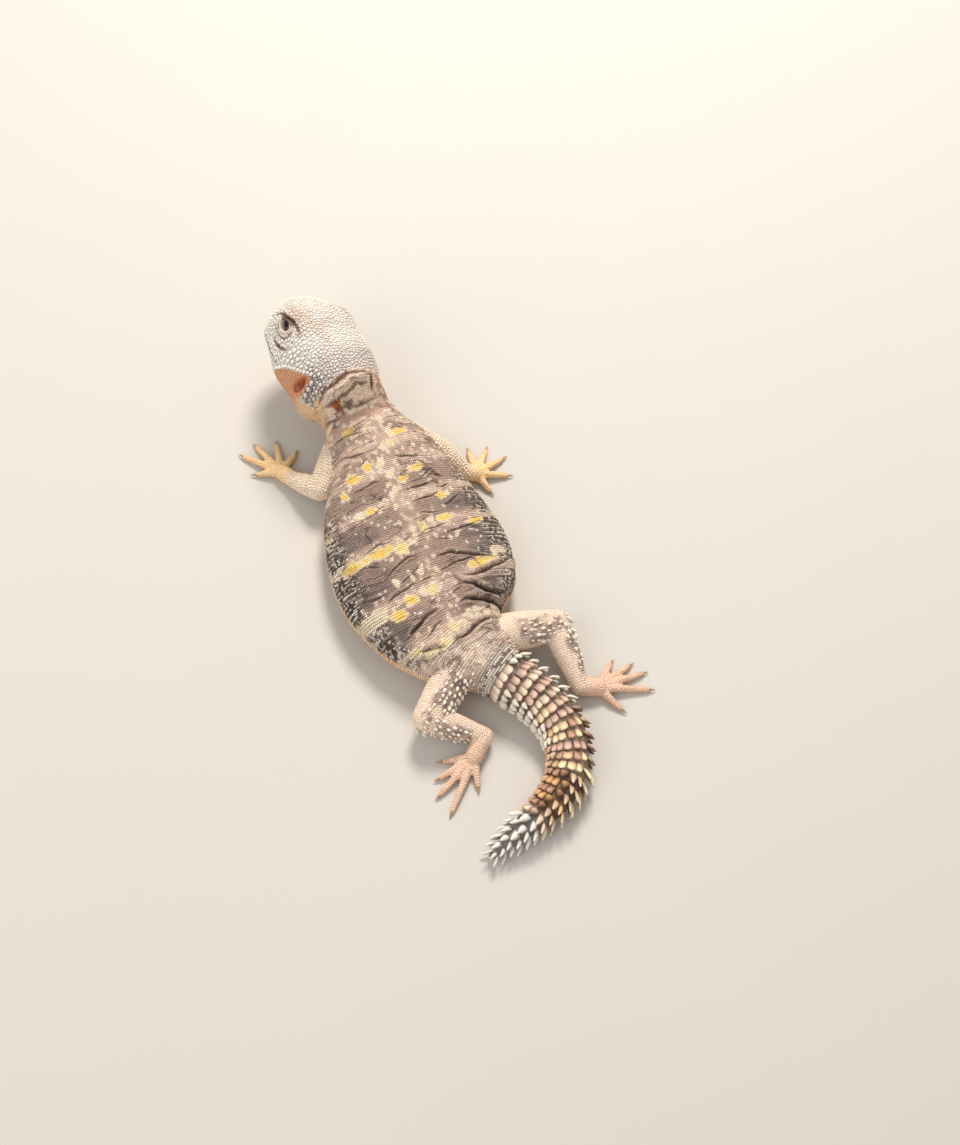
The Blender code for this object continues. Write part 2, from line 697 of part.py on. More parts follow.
def build_leg(name, leg, collection, body):
    """Two limb segments cut clear of the body, a foot with five toes, and the toes' claws."""
    root, knee, ankle, palm = leg["joints"]
    radii = leg["radii"]
    upper_name, lower_name, foot_name = SEGMENTS[name.split("_")[0]]
    side = name.split("_")[1]
    knee_plane = split_normal(root, knee, ankle)
    ankle_plane = split_normal(knee, ankle, palm)
    upper = rod(f"{upper_name}_{side}", collection, root, knee, radii[0], radii[1], bulge=LIMB_BULGE)
    trim_rod(upper, knee, knee_plane, True)
    lower = rod(f"{lower_name}_{side}", collection, knee, ankle, radii[1], radii[2], bulge=LIMB_BULGE)
    trim_rod(lower, knee, knee_plane, False)
    trim_rod(lower, ankle, ankle_plane, True)
    foot = rod(f"{foot_name}_{side}", collection, ankle, palm, radii[2], radii[3])
    trim_rod(foot, ankle, ankle_plane, False)
    toes = []
    claws = []
    for number, tip in enumerate(leg["tips"], 1):
        points = toe_points(palm, tip, TOE_SPREAD)
        toes.append(tube("toe", collection, points, TOE_RADII, TOE_SIDES))
        claws.append(build_claw(f"claw_{foot_name}_{side}_{number}", collection, points))
    combine(foot, toes, "UNION")
    if "hindleg" in name:
        cones = leg_tubercles(collection, root, knee, radii[:2], leg["outward"], THIGH_TUBERCLES)
        combine(upper, cones, "UNION")
        cones = leg_tubercles(collection, knee, ankle, radii[1:3], leg["outward"], SHIN_TUBERCLES)
        combine(lower, cones, "UNION")
    for piece in (upper, lower):
        combine(piece, [grown(near, collection) for near in body], "DIFFERENCE")
    for piece in (lower, foot):
        slice_flat(piece, (0, 0, 0), (0, 0, -1))
    return [upper, lower, foot], claws


def build_claw(name, collection, toe):
    """A small horn claw, curved down from the end of its toe and clear of the floor."""
    ahead = (toe[-1] - toe[-2]).normalized()
    level = Vector((ahead.x, ahead.y, 0)).normalized()
    start = toe[-1] + ahead * GAP
    points = [start]
    for share, lift in CLAW_BEND:
        points.append(Vector((start.x, start.y, start.z + lift)) + level * (CLAW_LONG * share))
    return tube(name, collection, points, [CLAW_THICK * share for share in CLAW_TAPER], CLAW_SIDES)


def build_lizard():
    clear_scene()
    lizard = new_collection("uromastyx")
    finishes = {
        name: finish(name, colour, HARD_ROUGHNESS if name in ("claw", "eye") else SKIN_ROUGHNESS)
        for name, colour in COLOURS.items()
    }
    head = build_head(lizard)
    dress(head, finishes["head"])
    for name, place in zip(("eye_right", "eye_left"), both_sides(EYE_CENTRE)):
        dress(build_eye(name, lizard, place), finishes["eye"])
    trunk, front_ring, front_way = build_trunk(lizard)
    dress(trunk, finishes["trunk"])
    neck = build_neck(lizard, front_ring, front_way)
    dress(neck, finishes["neck"])
    path = tail_path()
    tail = build_tail(lizard, path)
    for name, leg in LEGS.items():
        segments, claws = build_leg(name, leg, lizard, (trunk, neck, tail[0]))
        for segment in segments:
            dress(segment, finishes[name.split("_")[0]])
        for claw in claws:
            dress(claw, finishes["claw"])
    chance = np.random.default_rng(SEED)
    for piece, (_, first, last) in zip(tail, TAIL_NODES):
        combine(piece, tail_spines(lizard, path, first, last, chance), "UNION")
        dress(piece, finishes["tail"])


build_lizard()
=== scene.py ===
"""An ornate spiny-tailed lizard (uromastyx) basking flat on the floor, life size.

Metres, +Z up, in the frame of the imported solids. Sizes and places are in millimetres, as in the solids' own
source, and each mesh is scaled to metres as it is made.
"""

from itertools import product
from math import cos, pi, radians, sin

import bpy
import numpy as np
from mathutils import Matrix, Vector
from mathutils.bvhtree import BVHTree
from mathutils.kdtree import KDTree


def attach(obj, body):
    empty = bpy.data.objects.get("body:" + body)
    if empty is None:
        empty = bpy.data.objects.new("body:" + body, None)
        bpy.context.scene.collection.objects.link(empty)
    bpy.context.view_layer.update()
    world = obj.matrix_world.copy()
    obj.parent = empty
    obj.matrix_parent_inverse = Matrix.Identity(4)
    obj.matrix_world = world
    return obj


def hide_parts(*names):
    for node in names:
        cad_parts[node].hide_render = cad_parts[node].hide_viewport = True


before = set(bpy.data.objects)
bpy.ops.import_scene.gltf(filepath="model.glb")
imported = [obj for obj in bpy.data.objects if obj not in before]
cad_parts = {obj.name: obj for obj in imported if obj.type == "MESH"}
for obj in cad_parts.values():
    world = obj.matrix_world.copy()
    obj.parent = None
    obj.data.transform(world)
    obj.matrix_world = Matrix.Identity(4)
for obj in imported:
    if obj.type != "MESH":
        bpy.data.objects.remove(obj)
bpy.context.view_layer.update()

# The trunk and the tail's core: one long soft form of muscle under skin, wide and flat as the animal basks.
# It is drawn as rings of x, y, height of the widest line, half width, rise above that line and drop below it.
TRUNK = [
    (4.4, 53.0, 13.4, 14.6, 9.6, 9.8),
    (5.0, 46.0, 11.4, 17.2, 11.0, 10.8),
    (5.4, 38.0, 9.6, 20.6, 12.2, 11.0),
    (4.0, 28.0, 9.0, 25.4, 12.6, 10.4),
    (1.6, 13.0, 8.4, 30.0, 12.8, 10.0),
    (0.0, -1.0, 8.2, 32.0, 12.8, 10.0),
    (-1.6, -14.0, 8.2, 30.6, 12.6, 10.0),
    (-2.4, -25.0, 8.4, 26.0, 12.0, 10.0),
    (-1.6, -33.0, 8.8, 20.4, 11.4, 10.0),
    (0.8, -40.0, 9.0, 14.6, 10.4, 10.0),
    (4.2, -46.5, 8.6, 10.6, 9.0, 9.6),
]
TAIL = [
    (4.2, -46.5, 8.6, 10.6, 9.0, 9.6),
    (7.4, -52.4, 8.0, 9.4, 7.6, 9.0),
    (13.4, -64.0, 7.0, 8.7, 6.2, 8.0),
    (15.6, -76.6, 6.2, 8.0, 5.4, 7.2),
    (11.2, -88.2, 5.6, 7.2, 4.8, 6.4),
    (2.0, -95.8, 4.9, 6.2, 4.2, 5.6),
    (-9.8, -99.4, 3.9, 4.4, 3.3, 4.4),
    (-18.6, -101.8, 3.0, 2.8, 2.4, 3.2),
    (-25.6, -104.0, 2.3, 1.1, 1.2, 1.4),
]
BODY_ROUND = 2.3
BODY_SIDES = 96
TRUNK_STEPS = 7
TAIL_STEPS = 8
TAIL_ROOT = 5.0
# The tail's core narrows under the whorls of its armour: how far along, and how wide as a share of the tail.
TAIL_CORE = ((0, 0.99), (TAIL_ROOT - 0.8, 0.96), (TAIL_ROOT + 0.4, 0.86))
WHORL_COUNT = 24
WHORL_LONG = 3.9
WHORL_SHORT = 2.9


def smooth_rows(rows, steps):
    """Rows of a table with steps - 1 more set between each pair, on a smooth curve through them all."""
    rows = np.array(rows, float)
    padded = np.vstack([2 * rows[0] - rows[1], rows, 2 * rows[-1] - rows[-2]])
    before, start, end, after = padded[:-3], padded[1:-2], padded[2:-1], padded[3:]
    finer = []
    for t in np.arange(steps) / steps:
        bend = (2 * before - 5 * start + 4 * end - after) * t**2
        twist = (3 * start - before - 3 * end + after) * t**3
        finer.append(0.5 * (2 * start + (end - before) * t + bend + twist))
    finer = np.stack(finer, axis=1).reshape(-1, rows.shape[1])
    return np.vstack([finer, rows[-1:]])


def unit(vectors):
    """Vectors brought to a length of 1."""
    vectors = np.asarray(vectors, float)
    return vectors / (np.linalg.norm(vectors, axis=-1, keepdims=True) + 1e-12)


def section(half_width, rise, drop, roundness, sides):
    """A section's points, sideways and upward, counterclockwise from the right on two superellipse halves."""
    turn = 2 * pi * (np.arange(sides) + 0.5) / sides
    across = half_width * np.abs(np.cos(turn)) ** (2 / roundness) * np.sign(np.cos(turn))
    upward = np.abs(np.sin(turn)) ** (2 / roundness) * np.sign(np.sin(turn))
    return across, np.where(upward >= 0, rise, drop) * upward


def level_rings(rows, scales=None):
    """Upright rings over rows of the trunk or tail, laid on the floor where they pass it."""
    scales = np.ones(len(rows)) if scales is None else scales
    along = np.gradient(rows[:, :3], axis=0)
    along[:, 2] = 0
    along = unit(along)
    rings = []
    for (x, y, height, half_width, rise, drop), way, scale in zip(rows, along, scales):
        right = np.array((-way[1], way[0], 0))
        across, upward = section(half_width * scale, rise * scale, drop, BODY_ROUND, BODY_SIDES)
        ring = np.array((x, y, height)) + right * across[:, None]
        ring[:, 2] = np.maximum(ring[:, 2] + upward, 0)
        rings.append(ring)
    return np.array(rings)


def run_of(points):
    """How far along a line of points each of them lies."""
    return np.concatenate([[0], np.cumsum(np.linalg.norm(np.diff(points, axis=0), axis=1))])


def reach_of(rings):
    """How far along a form each of its rings lies."""
    return run_of(rings.mean(axis=1))


trunk_rows = smooth_rows(TRUNK, TRUNK_STEPS)
forms = {"trunk": level_rings(trunk_rows)}
tail_rows = smooth_rows(TAIL, TAIL_STEPS)
full_tail = level_rings(tail_rows)
tail_reach = reach_of(full_tail)
lengths = np.linspace(WHORL_LONG, WHORL_SHORT, WHORL_COUNT)
whorl_shares = np.concatenate([[0], np.cumsum(lengths)]) / lengths.sum()
whorl_edges = TAIL_ROOT + whorl_shares * (tail_reach[-1] - TAIL_ROOT)
forms["tail"] = level_rings(tail_rows, np.interp(tail_reach, *zip(*TAIL_CORE)))

# The head: a short, high-sided wedge of bone and jaw muscle, drawn in its own frame between the ears, y ahead
# and z up, then turned on the neck. Rings of y, top, bottom, half width, height of the widest line, and how
# square the section is above and below that line.
HEAD_ORIGIN = np.array((0.85, 69.9, 25.3))
HEAD_YAW = radians(8)
HEAD_PITCH = radians(-2)
HEAD_ROLL = radians(28)
HEAD = [
    (-7.0, 12.4, -13.4, 13.8, -1.0, 2.3, 2.3),
    (-3.0, 13.8, -13.6, 15.0, -1.0, 2.4, 2.3),
    (3.0, 15.0, -13.6, 16.2, -1.0, 2.5, 2.3),
    (9.5, 15.6, -13.0, 16.6, -1.2, 2.6, 2.2),
    (15.5, 16.4, -12.0, 16.0, -1.4, 2.8, 2.1),
    (20.5, 16.4, -10.6, 14.8, -1.6, 2.9, 2.0),
    (25.0, 15.4, -9.2, 13.2, -1.8, 2.8, 2.0),
    (29.0, 13.8, -8.0, 11.6, -2.0, 2.6, 2.0),
    (32.0, 11.6, -7.0, 9.8, -2.2, 2.4, 2.0),
    (34.2, 8.6, -6.0, 7.6, -2.4, 2.3, 2.0),
    (35.6, 5.2, -5.0, 5.2, -2.6, 2.2, 2.0),
    (36.2, 1.6, -4.2, 2.6, -2.8, 2.1, 2.0),
]
# Where the brows, cheeks, jaw and throat bulge and the sockets sink: middle, spread, and how far out.
SWELLS = [
    ((11.8, 20.0, 13.6), (4.0, 6.5, 3.2), 1.6),
    ((15.5, 6.0, -5.0), (5.0, 6.0, 5.0), 1.0),
    ((12.0, 15.0, -10.0), (5.0, 6.5, 4.5), 1.6),
    ((4.5, 1.0, -14.0), (8.0, 5.0, 6.0), 4.2),
    ((13.5, 23.0, 3.0), (4.0, 4.5, 3.0), -0.7),
]
HEAD_SIDES = 72
HEAD_STEPS = 5

facing = Matrix.Rotation(HEAD_YAW, 3, "Z") @ Matrix.Rotation(HEAD_PITCH, 3, "X")
HEAD_AXES = np.array(facing @ Matrix.Rotation(HEAD_ROLL, 3, "Y"))


def both_sides(place):
    """A place on the head's right side, and the same on its left."""
    return np.array((place, (-place[0], place[1], place[2])))


def from_head(points):
    """Points of the head's frame, in the part's frame."""
    return np.asarray(points) @ HEAD_AXES.T + HEAD_ORIGIN


def to_head(points):
    """Points of the part's frame, in the head's frame."""
    return (np.asarray(points) - HEAD_ORIGIN) @ HEAD_AXES


def head_rings():
    """The head's rings in its own frame, swollen outward where the real head bulges."""
    rings = []
    for y, top, bottom, half_width, height, above, below in smooth_rows(HEAD, HEAD_STEPS):
        upper = section(half_width, top - height, height - bottom, above, HEAD_SIDES)
        lower = section(half_width, top - height, height - bottom, below, HEAD_SIDES)
        across, upward = np.where(upper[1] >= 0, upper, lower)
        rings.append(np.stack([across, np.full(HEAD_SIDES, y), height + upward], axis=1))
    rings = np.array(rings)
    outward = np.cross(np.gradient(rings, axis=0), np.roll(rings, -1, axis=1) - np.roll(rings, 1, axis=1))
    outward = unit(outward)
    swell = np.zeros(rings.shape[:2])
    for middle, spread, size in SWELLS:
        for place in both_sides(middle):
            swell += size * np.exp(-(((rings - place) / spread) ** 2).sum(axis=2))
    return rings + outward * swell[:, :, None]


head = head_rings()
forms["head"] = from_head(head)

# The neck: loose skin over muscle from the shoulders to the back of the skull, narrow at its waist. It
# reaches a little way into the trunk and the head, so that one skin grows over the three.
NECK_STEPS = 22
NECK_WAIST = 0.95
NECK_INTO = 1.6
NECK_END_WIDTH = 0.96


def points_at(wanted, run, points):
    """Points at wanted distances along a line of points, by how far along it each of them lies."""
    return np.stack([np.interp(wanted, run, points[:, axis]) for axis in range(3)], axis=1)


def resample(ring, count):
    """The same closed ring with another count of points, evenly spread from its first."""
    points = np.vstack([ring, ring[:1]])
    run = run_of(points)
    return points_at(np.arange(count) / count * run[-1], run, points)


def neck_rings():
    """Rings that bend smoothly from the trunk's first to the head's first, with one more inside each."""
    first = resample(forms["trunk"][0], HEAD_SIDES)
    last = resample(forms["head"][0], HEAD_SIDES)
    back = unit(np.append(trunk_rows[1, :2] - trunk_rows[0, :2], 0))
    ahead = from_head((0, 1, 0)) - from_head((0, 0, 0))
    reach = np.linalg.norm(last.mean(axis=0) - first.mean(axis=0))
    rings = []
    for t in np.linspace(0, 1, NECK_STEPS + 1):
        ring = (
            first * (2 * t**3 - 3 * t**2 + 1)
            - back * reach * (t**3 - 2 * t**2 + t)
            + last * (3 * t**2 - 2 * t**3)
            + ahead * reach * (t**3 - t**2)
        )
        middle = ring.mean(axis=0)
        rings.append(middle + (ring - middle) * (1 - (1 - NECK_WAIST) * sin(pi * t)))
    inner = []
    for ring, way in ((rings[0], back), (rings[-1], ahead)):
        middle = ring.mean(axis=0)
        inner.append(middle + (ring - middle) * NECK_END_WIDTH + way * NECK_INTO)
    rings = np.array([inner[0], *rings, inner[1]])
    rings[:, :, 2] = np.maximum(rings[:, :, 2], 0)
    return rings


forms["neck"] = neck_rings()

# The legs: each an upper and a lower segment with a swell of muscle, a palm or sole, and five toes that arch
# over their first joint. Joints and radii are the solids' own, and the tips go from the thumb outward.
LEGS = {
    "foreleg_left": {
        "joints": ((-4.0, 54.0, 12.0), (-19.0, 40.5, 8.8), (-24.6, 51.0, 3.8), (-27.0, 56.6, 2.6)),
        "radii": (5.4, 4.2, 2.9, 2.9),
        "tips": ((-19.0, 62.5), (-23.5, 69.0), (-30.5, 71.0), (-36.2, 69.0), (-35.0, 60.0)),
    },
    "foreleg_right": {
        "joints": ((14.0, 52.0, 12.0), (27.0, 38.5, 8.8), (33.0, 28.0, 3.8), (36.4, 27.0, 2.6)),
        "radii": (5.4, 4.2, 2.9, 2.9),
        "tips": ((38.6, 37.6), (44.6, 35.4), (48.4, 29.6), (46.8, 22.4), (38.0, 19.0)),
    },
    "hindleg_left": {
        "joints": ((2.0, -37.0, 10.0), (-23.6, -54.6, 8.8), (-8.4, -66.4, 3.8), (-14.4, -71.0, 2.6)),
        "radii": (7.0, 5.2, 3.1, 3.1),
        "tips": ((-24.0, -67.6), (-27.6, -72.4), (-30.0, -77.6), (-29.0, -84.4), (-17.6, -80.6)),
    },
    "hindleg_right": {
        "joints": ((8.0, -37.0, 10.0), (31.0, -42.0, 8.8), (29.0, -64.0, 3.8), (34.6, -66.4, 2.6)),
        "radii": (7.0, 5.2, 3.1, 3.1),
        "tips": ((43.6, -60.0), (48.8, -63.4), (51.6, -67.8), (50.6, -74.0), (38.6, -76.4)),
    },
}
SEGMENTS = {"foreleg": ("upper_arm", "forearm", "hand"), "hindleg": ("thigh", "shin", "foot")}
LIMB_SIDES = 36
LIMB_STEPS = 9
LIMB_BULGE = 0.1
LIMB_CAPS = np.radians((8, 26, 44, 62))
TOE_SIDES = 18
TOE_STEPS = 4
TOE_RADII = (1.6, 1.35, 1.15, 0.95)
TOE_HEIGHTS = (2.0, 1.9, 1.25, 0.9)
TOE_SHARES = (0.0, 0.4, 0.75, 1.0)
TOE_SPREAD = 1.7
TOE_END_LONG = 0.6
TOE_END_THICK = 0.55


def tube_rings(points, radii, sides):
    """Rings square to a path, each starting level at its right."""
    points = np.asarray(points, float)
    along = unit(np.gradient(points, axis=0))
    right = unit(np.cross(along, (0, 0, 1)))
    upward = np.cross(right, along)
    turns = 2 * pi * (np.arange(sides) + 0.5) / sides
    around = np.cos(turns)[:, None] * right[:, None] + np.sin(turns)[:, None] * upward[:, None]
    return points[:, None] + around * np.asarray(radii, float)[:, None, None]


def rod_rings(start, end, start_radius, end_radius, bulge):
    """Rings of a rod with rounded ends, thicker at its middle by the share called bulge."""
    start, end = np.array(start), np.array(end)
    length = np.linalg.norm(end - start)
    places = [(-start_radius * cos(a), start_radius * sin(a)) for a in LIMB_CAPS]
    for t in np.linspace(0, 1, LIMB_STEPS):
        radius = start_radius + (end_radius - start_radius) * t
        places.append((length * t, radius * (1 + bulge * sin(pi * t))))
    places += [(length + end_radius * cos(a), end_radius * sin(a)) for a in LIMB_CAPS[::-1]]
    reach, radii = np.array(places).T
    return tube_rings(start + unit(end - start) * reach[:, None], radii, LIMB_SIDES)


def toe_path(palm, tip):
    """A toe's centre line: out of the palm, up over the first joint, and down to the floor."""
    palm, tip = np.array(palm[:2]), np.array(tip)
    start = palm + unit(tip - palm) * TOE_SPREAD
    return [(*(start + (tip - start) * share), height) for share, height in zip(TOE_SHARES, TOE_HEIGHTS)]


toes = {}
for leg_name, leg in LEGS.items():
    kind, side = leg_name.split("_")
    joints, radii = leg["joints"], leg["radii"]
    for number, segment in enumerate(SEGMENTS[kind]):
        bulge = LIMB_BULGE if number < 2 else 0.0
        forms[f"{segment}_{side}"] = rod_rings(
            joints[number], joints[number + 1], radii[number], radii[number + 1], bulge
        )
    for number, tip in enumerate(leg["tips"], 1):
        path = toe_path(joints[3], tip)
        toe_name = f"{SEGMENTS[kind][2]}_{side}_{number}"
        toes[toe_name] = path
        rows = smooth_rows(np.column_stack([path, TOE_RADII]), TOE_STEPS)
        end = rows[-1] + (rows[-1] - rows[-2]) * TOE_END_LONG
        end[3] = TOE_RADII[-1] * TOE_END_THICK
        rows = np.vstack([rows, end])
        forms["toe_" + toe_name] = tube_rings(rows[:, :3], rows[:, 3], TOE_SIDES)

# The skin: one sheet over the whole animal, without a seam, a little inside the solids so that the scales on
# it reach their surface. The forms are fused in a fine grid of voxels, after the lids and lips are joined to
# the head and the eye sockets, ears, nostrils and the line of the mouth are cut.
MM = 0.001
EYE_CENTRE = (10.0, 20.3, 9.2)
EYE_RADIUS = 3.6
LID_RADIUS = 4.4
LID_OPENING = (4.6, 3.3, 2.05)
LID_OPENING_SHIFT = np.array((4.0, 0.4, -0.3))
LID_LEAN = radians(-20)
EAR_CENTRE = (16.4, 0.9, -1.1)
EAR_SIZE = (3.2, 1.5, 3.7)
EAR_LEAN = radians(10)
NOSTRIL = (31.6, 3.8)
NOSTRIL_SIZE = 0.8
MOUTH_HEIGHT = -3.0
MOUTH_AHEAD = (10.5, 15.0, 20.0, 24.5, 28.5, 31.8, 34.0, 35.5)
MOUTH_TIP = 36.4
MOUTH_DEEP = 0.45
MOUTH_STEPS = 3
MOUTH_SIDES = 10
LIP_THICK = 0.9
LIP_IN = 0.55
BALL_RINGS = 14
BALL_SIDES = 28
VOXEL = 0.42


def read_vectors(items, field="co"):
    """A field of a mesh's points or normals, as rows of three."""
    values = np.zeros(len(items) * 3)
    items.foreach_get(field, values)
    return values.reshape(-1, 3)


def ring_faces(count, sides):
    """Faces over rings of equal count, with one flat face at each end."""
    i, k = np.meshgrid(np.arange(count - 1), np.arange(sides), indexing="ij")
    n = (k + 1) % sides
    quads = np.stack([i * sides + k, i * sides + n, (i + 1) * sides + n, (i + 1) * sides + k], axis=-1)
    faces = [tuple(face) for face in quads.reshape(-1, 4)]
    faces.append(tuple(range(sides))[::-1])
    faces.append(tuple(range((count - 1) * sides, count * sides)))
    return faces


def add_object(name, data):
    """A new object in the scene, with a mesh, a lamp or a camera."""
    made = bpy.data.objects.new(name, data)
    bpy.context.scene.collection.objects.link(made)
    return made


def solid(rings):
    """A closed mesh over rings, in millimetres, turned right side out."""
    mesh = bpy.data.meshes.new("form")
    mesh.from_pydata(rings.reshape(-1, 3), [], ring_faces(*rings.shape[:2]))
    mesh.update()
    made = add_object("form", mesh)
    ahead = rings[-1].mean(axis=0) - rings[0].mean(axis=0)
    normal = np.cross(rings[0, 1] - rings[0, 0], rings[0, 2] - rings[0, 1])
    if normal @ ahead < 0:
        mesh.flip_normals()
    return made


def ball(centre, sizes, lean=0.0):
    """A closed ellipsoid in the head's frame, turned by its lean about the line across the head."""
    tilts = np.linspace(-pi / 2, pi / 2, BALL_RINGS + 2)[1:-1, None]
    turns = 2 * pi * (np.arange(BALL_SIDES) + 0.5) / BALL_SIDES
    across, ahead = np.cos(turns) * np.cos(tilts), np.sin(turns) * np.cos(tilts)
    rings = np.stack([across, ahead, np.broadcast_to(np.sin(tilts), across.shape)], axis=-1) * np.array(sizes)
    turned = rings @ np.array(Matrix.Rotation(lean, 3, "X")).T
    return solid(from_head(turned + np.array(centre)))


def made_mesh(thing):
    """The mesh that an object's modifiers give it."""
    graph = bpy.context.evaluated_depsgraph_get()
    return bpy.data.meshes.new_from_object(thing.evaluated_get(graph))


def combine(thing, pieces, operation):
    """Joins or cuts a mesh by a list of others, which are then removed."""
    helpers = bpy.data.collections.new("helpers")
    for piece in pieces:
        helpers.objects.link(piece)
    boolean = thing.modifiers.new(operation.title(), "BOOLEAN")
    boolean.operation = operation
    boolean.operand_type = "COLLECTION"
    boolean.collection = helpers
    boolean.solver = "EXACT"
    mesh = made_mesh(thing)
    thing.modifiers.clear()
    thing.data = mesh
    for piece in pieces:
        bpy.data.objects.remove(piece)
    bpy.data.collections.remove(helpers)


def head_side(y, z):
    """How far the head's right side stands out from its middle, at a place ahead and a height."""
    widths = []
    for ring in head:
        right = ring[ring[:, 0] > 0]
        right = right[np.argsort(right[:, 2])]
        widths.append(np.interp(z, right[:, 2], right[:, 0]))
    return np.interp(y, head[:, :, 1].mean(axis=1), widths)


def mouth_path(sunk):
    """The line of the mouth, from one corner round the snout to the other."""
    right = [(head_side(y, MOUTH_HEIGHT) - sunk, y, MOUTH_HEIGHT) for y in MOUTH_AHEAD]
    path = right + [(0.0, MOUTH_TIP - sunk, MOUTH_HEIGHT)] + [(-x, y, z) for x, y, z in reversed(right)]
    return smooth_rows(path, MOUTH_STEPS)


def mouth_tube(sunk, radius):
    """A tube along the mouth, sunk below the head's side: the lips, or the cut between them."""
    path = mouth_path(sunk)
    return solid(from_head(tube_rings(path, np.full(len(path), radius), MOUTH_SIDES)))


def shape_head():
    """The head's form with lids and lips joined on, and its hollows cut in."""
    made = solid(forms["head"])
    lids = [ball(place, (LID_RADIUS,) * 3) for place in both_sides(EYE_CENTRE)]
    combine(made, lids + [mouth_tube(LIP_IN, LIP_THICK)], "UNION")
    cutters = [ball(place, (EYE_RADIUS,) * 3) for place in both_sides(EYE_CENTRE)]
    cutters += [ball(place, LID_OPENING, LID_LEAN) for place in both_sides(EYE_CENTRE + LID_OPENING_SHIFT)]
    cutters += [ball(place, EAR_SIZE, EAR_LEAN) for place in both_sides(EAR_CENTRE)]
    nostril = (head_side(*NOSTRIL), *NOSTRIL)
    cutters += [ball(place, (NOSTRIL_SIZE,) * 3) for place in both_sides(nostril)]
    cutters.append(mouth_tube(LIP_IN - LIP_THICK, MOUTH_DEEP))
    combine(made, cutters, "DIFFERENCE")
    return made


def fuse(pieces):
    """One skin over overlapping closed forms, remade in voxels and smoothed."""
    vertices, faces = [], []
    count = 0
    for piece in pieces:
        vertices.append(read_vectors(piece.data.vertices))
        faces += [[count + v for v in polygon.vertices] for polygon in piece.data.polygons]
        count += len(piece.data.vertices)
        bpy.data.objects.remove(piece)
    mesh = bpy.data.meshes.new("skin")
    mesh.from_pydata(np.concatenate(vertices), [], faces)
    made = add_object("skin", mesh)
    remesh = made.modifiers.new("Fuse", "REMESH")
    remesh.mode = "VOXEL"
    remesh.voxel_size = VOXEL
    remesh.use_smooth_shade = True
    smooth = made.modifiers.new("Soften", "SMOOTH")
    smooth.factor = 0.5
    smooth.iterations = 3
    made.data = made_mesh(made)
    made.modifiers.clear()
    return made


pieces = [shape_head()] + [solid(rings) for name, rings in forms.items() if name != "head"]
skin = fuse(pieces)

# How the skin is laid out: every point of it knows which form it belongs to, how far along that form it lies
# and how far round from the midline of the back, from -1 to 1. The folds and markings are drawn with these.
FORM_NAMES = list(forms)


def form_grid(rings):
    """For each point of a form's rings: how far along the form it lies, in mm, and how far round it."""
    reach = reach_of(rings)
    sides = rings.shape[1]
    round_by = ((np.arange(sides) + 0.5) / sides - 0.25) * 2
    round_by = np.where(round_by > 1, round_by - 2, round_by)
    shape = rings.shape[:2]
    return np.stack([np.broadcast_to(reach[:, None], shape), np.broadcast_to(round_by, shape)], axis=-1)


def tree_of(places):
    """A tree that finds the nearest of some places."""
    tree = KDTree(len(places))
    for index, place in enumerate(places):
        tree.insert(place, index)
    tree.balance()
    return tree


def lay_out(points):
    """The form that each point belongs to, how far along it lies, and how far round."""
    tables = []
    for number, rings in enumerate(forms.values()):
        grid = form_grid(rings).reshape(-1, 2)
        tables.append(np.column_stack([np.full(len(grid), number), grid]))
    table = np.concatenate(tables)
    tree = tree_of(np.concatenate([rings.reshape(-1, 3) for rings in forms.values()]))
    nearest = np.array([tree.find(point)[1] for point in points])
    return table[nearest, 0].astype(int), table[nearest, 1], table[nearest, 2]


# Large odd numbers that scatter the bits of a cell's place and of a seed.
SCATTER = (73856093, 19349663, 83492791)
SCATTER_SEED = 40503
SCATTER_MORE = 1274126177


def noise(points, size, seed):
    """Smooth random values from -1 to 1, in lumps about as large as size."""
    cell = np.asarray(points) / np.asarray(size, float)
    base = np.floor(cell).astype(np.int64)
    part = cell - base
    ease = part * part * (3 - 2 * part)
    total = np.zeros(len(cell))
    for corner in product((0, 1), repeat=3):
        index = base + np.array(corner)
        mixed = np.bitwise_xor.reduce(index * SCATTER, axis=1) ^ seed * SCATTER_SEED
        mixed = (mixed ^ (mixed >> 13)) * SCATTER_MORE
        value = ((mixed ^ (mixed >> 16)) & 0xFFFF) / 0xFFFF
        total += value * np.prod(np.where(corner, ease, 1 - ease), axis=1)
    return total * 2 - 1


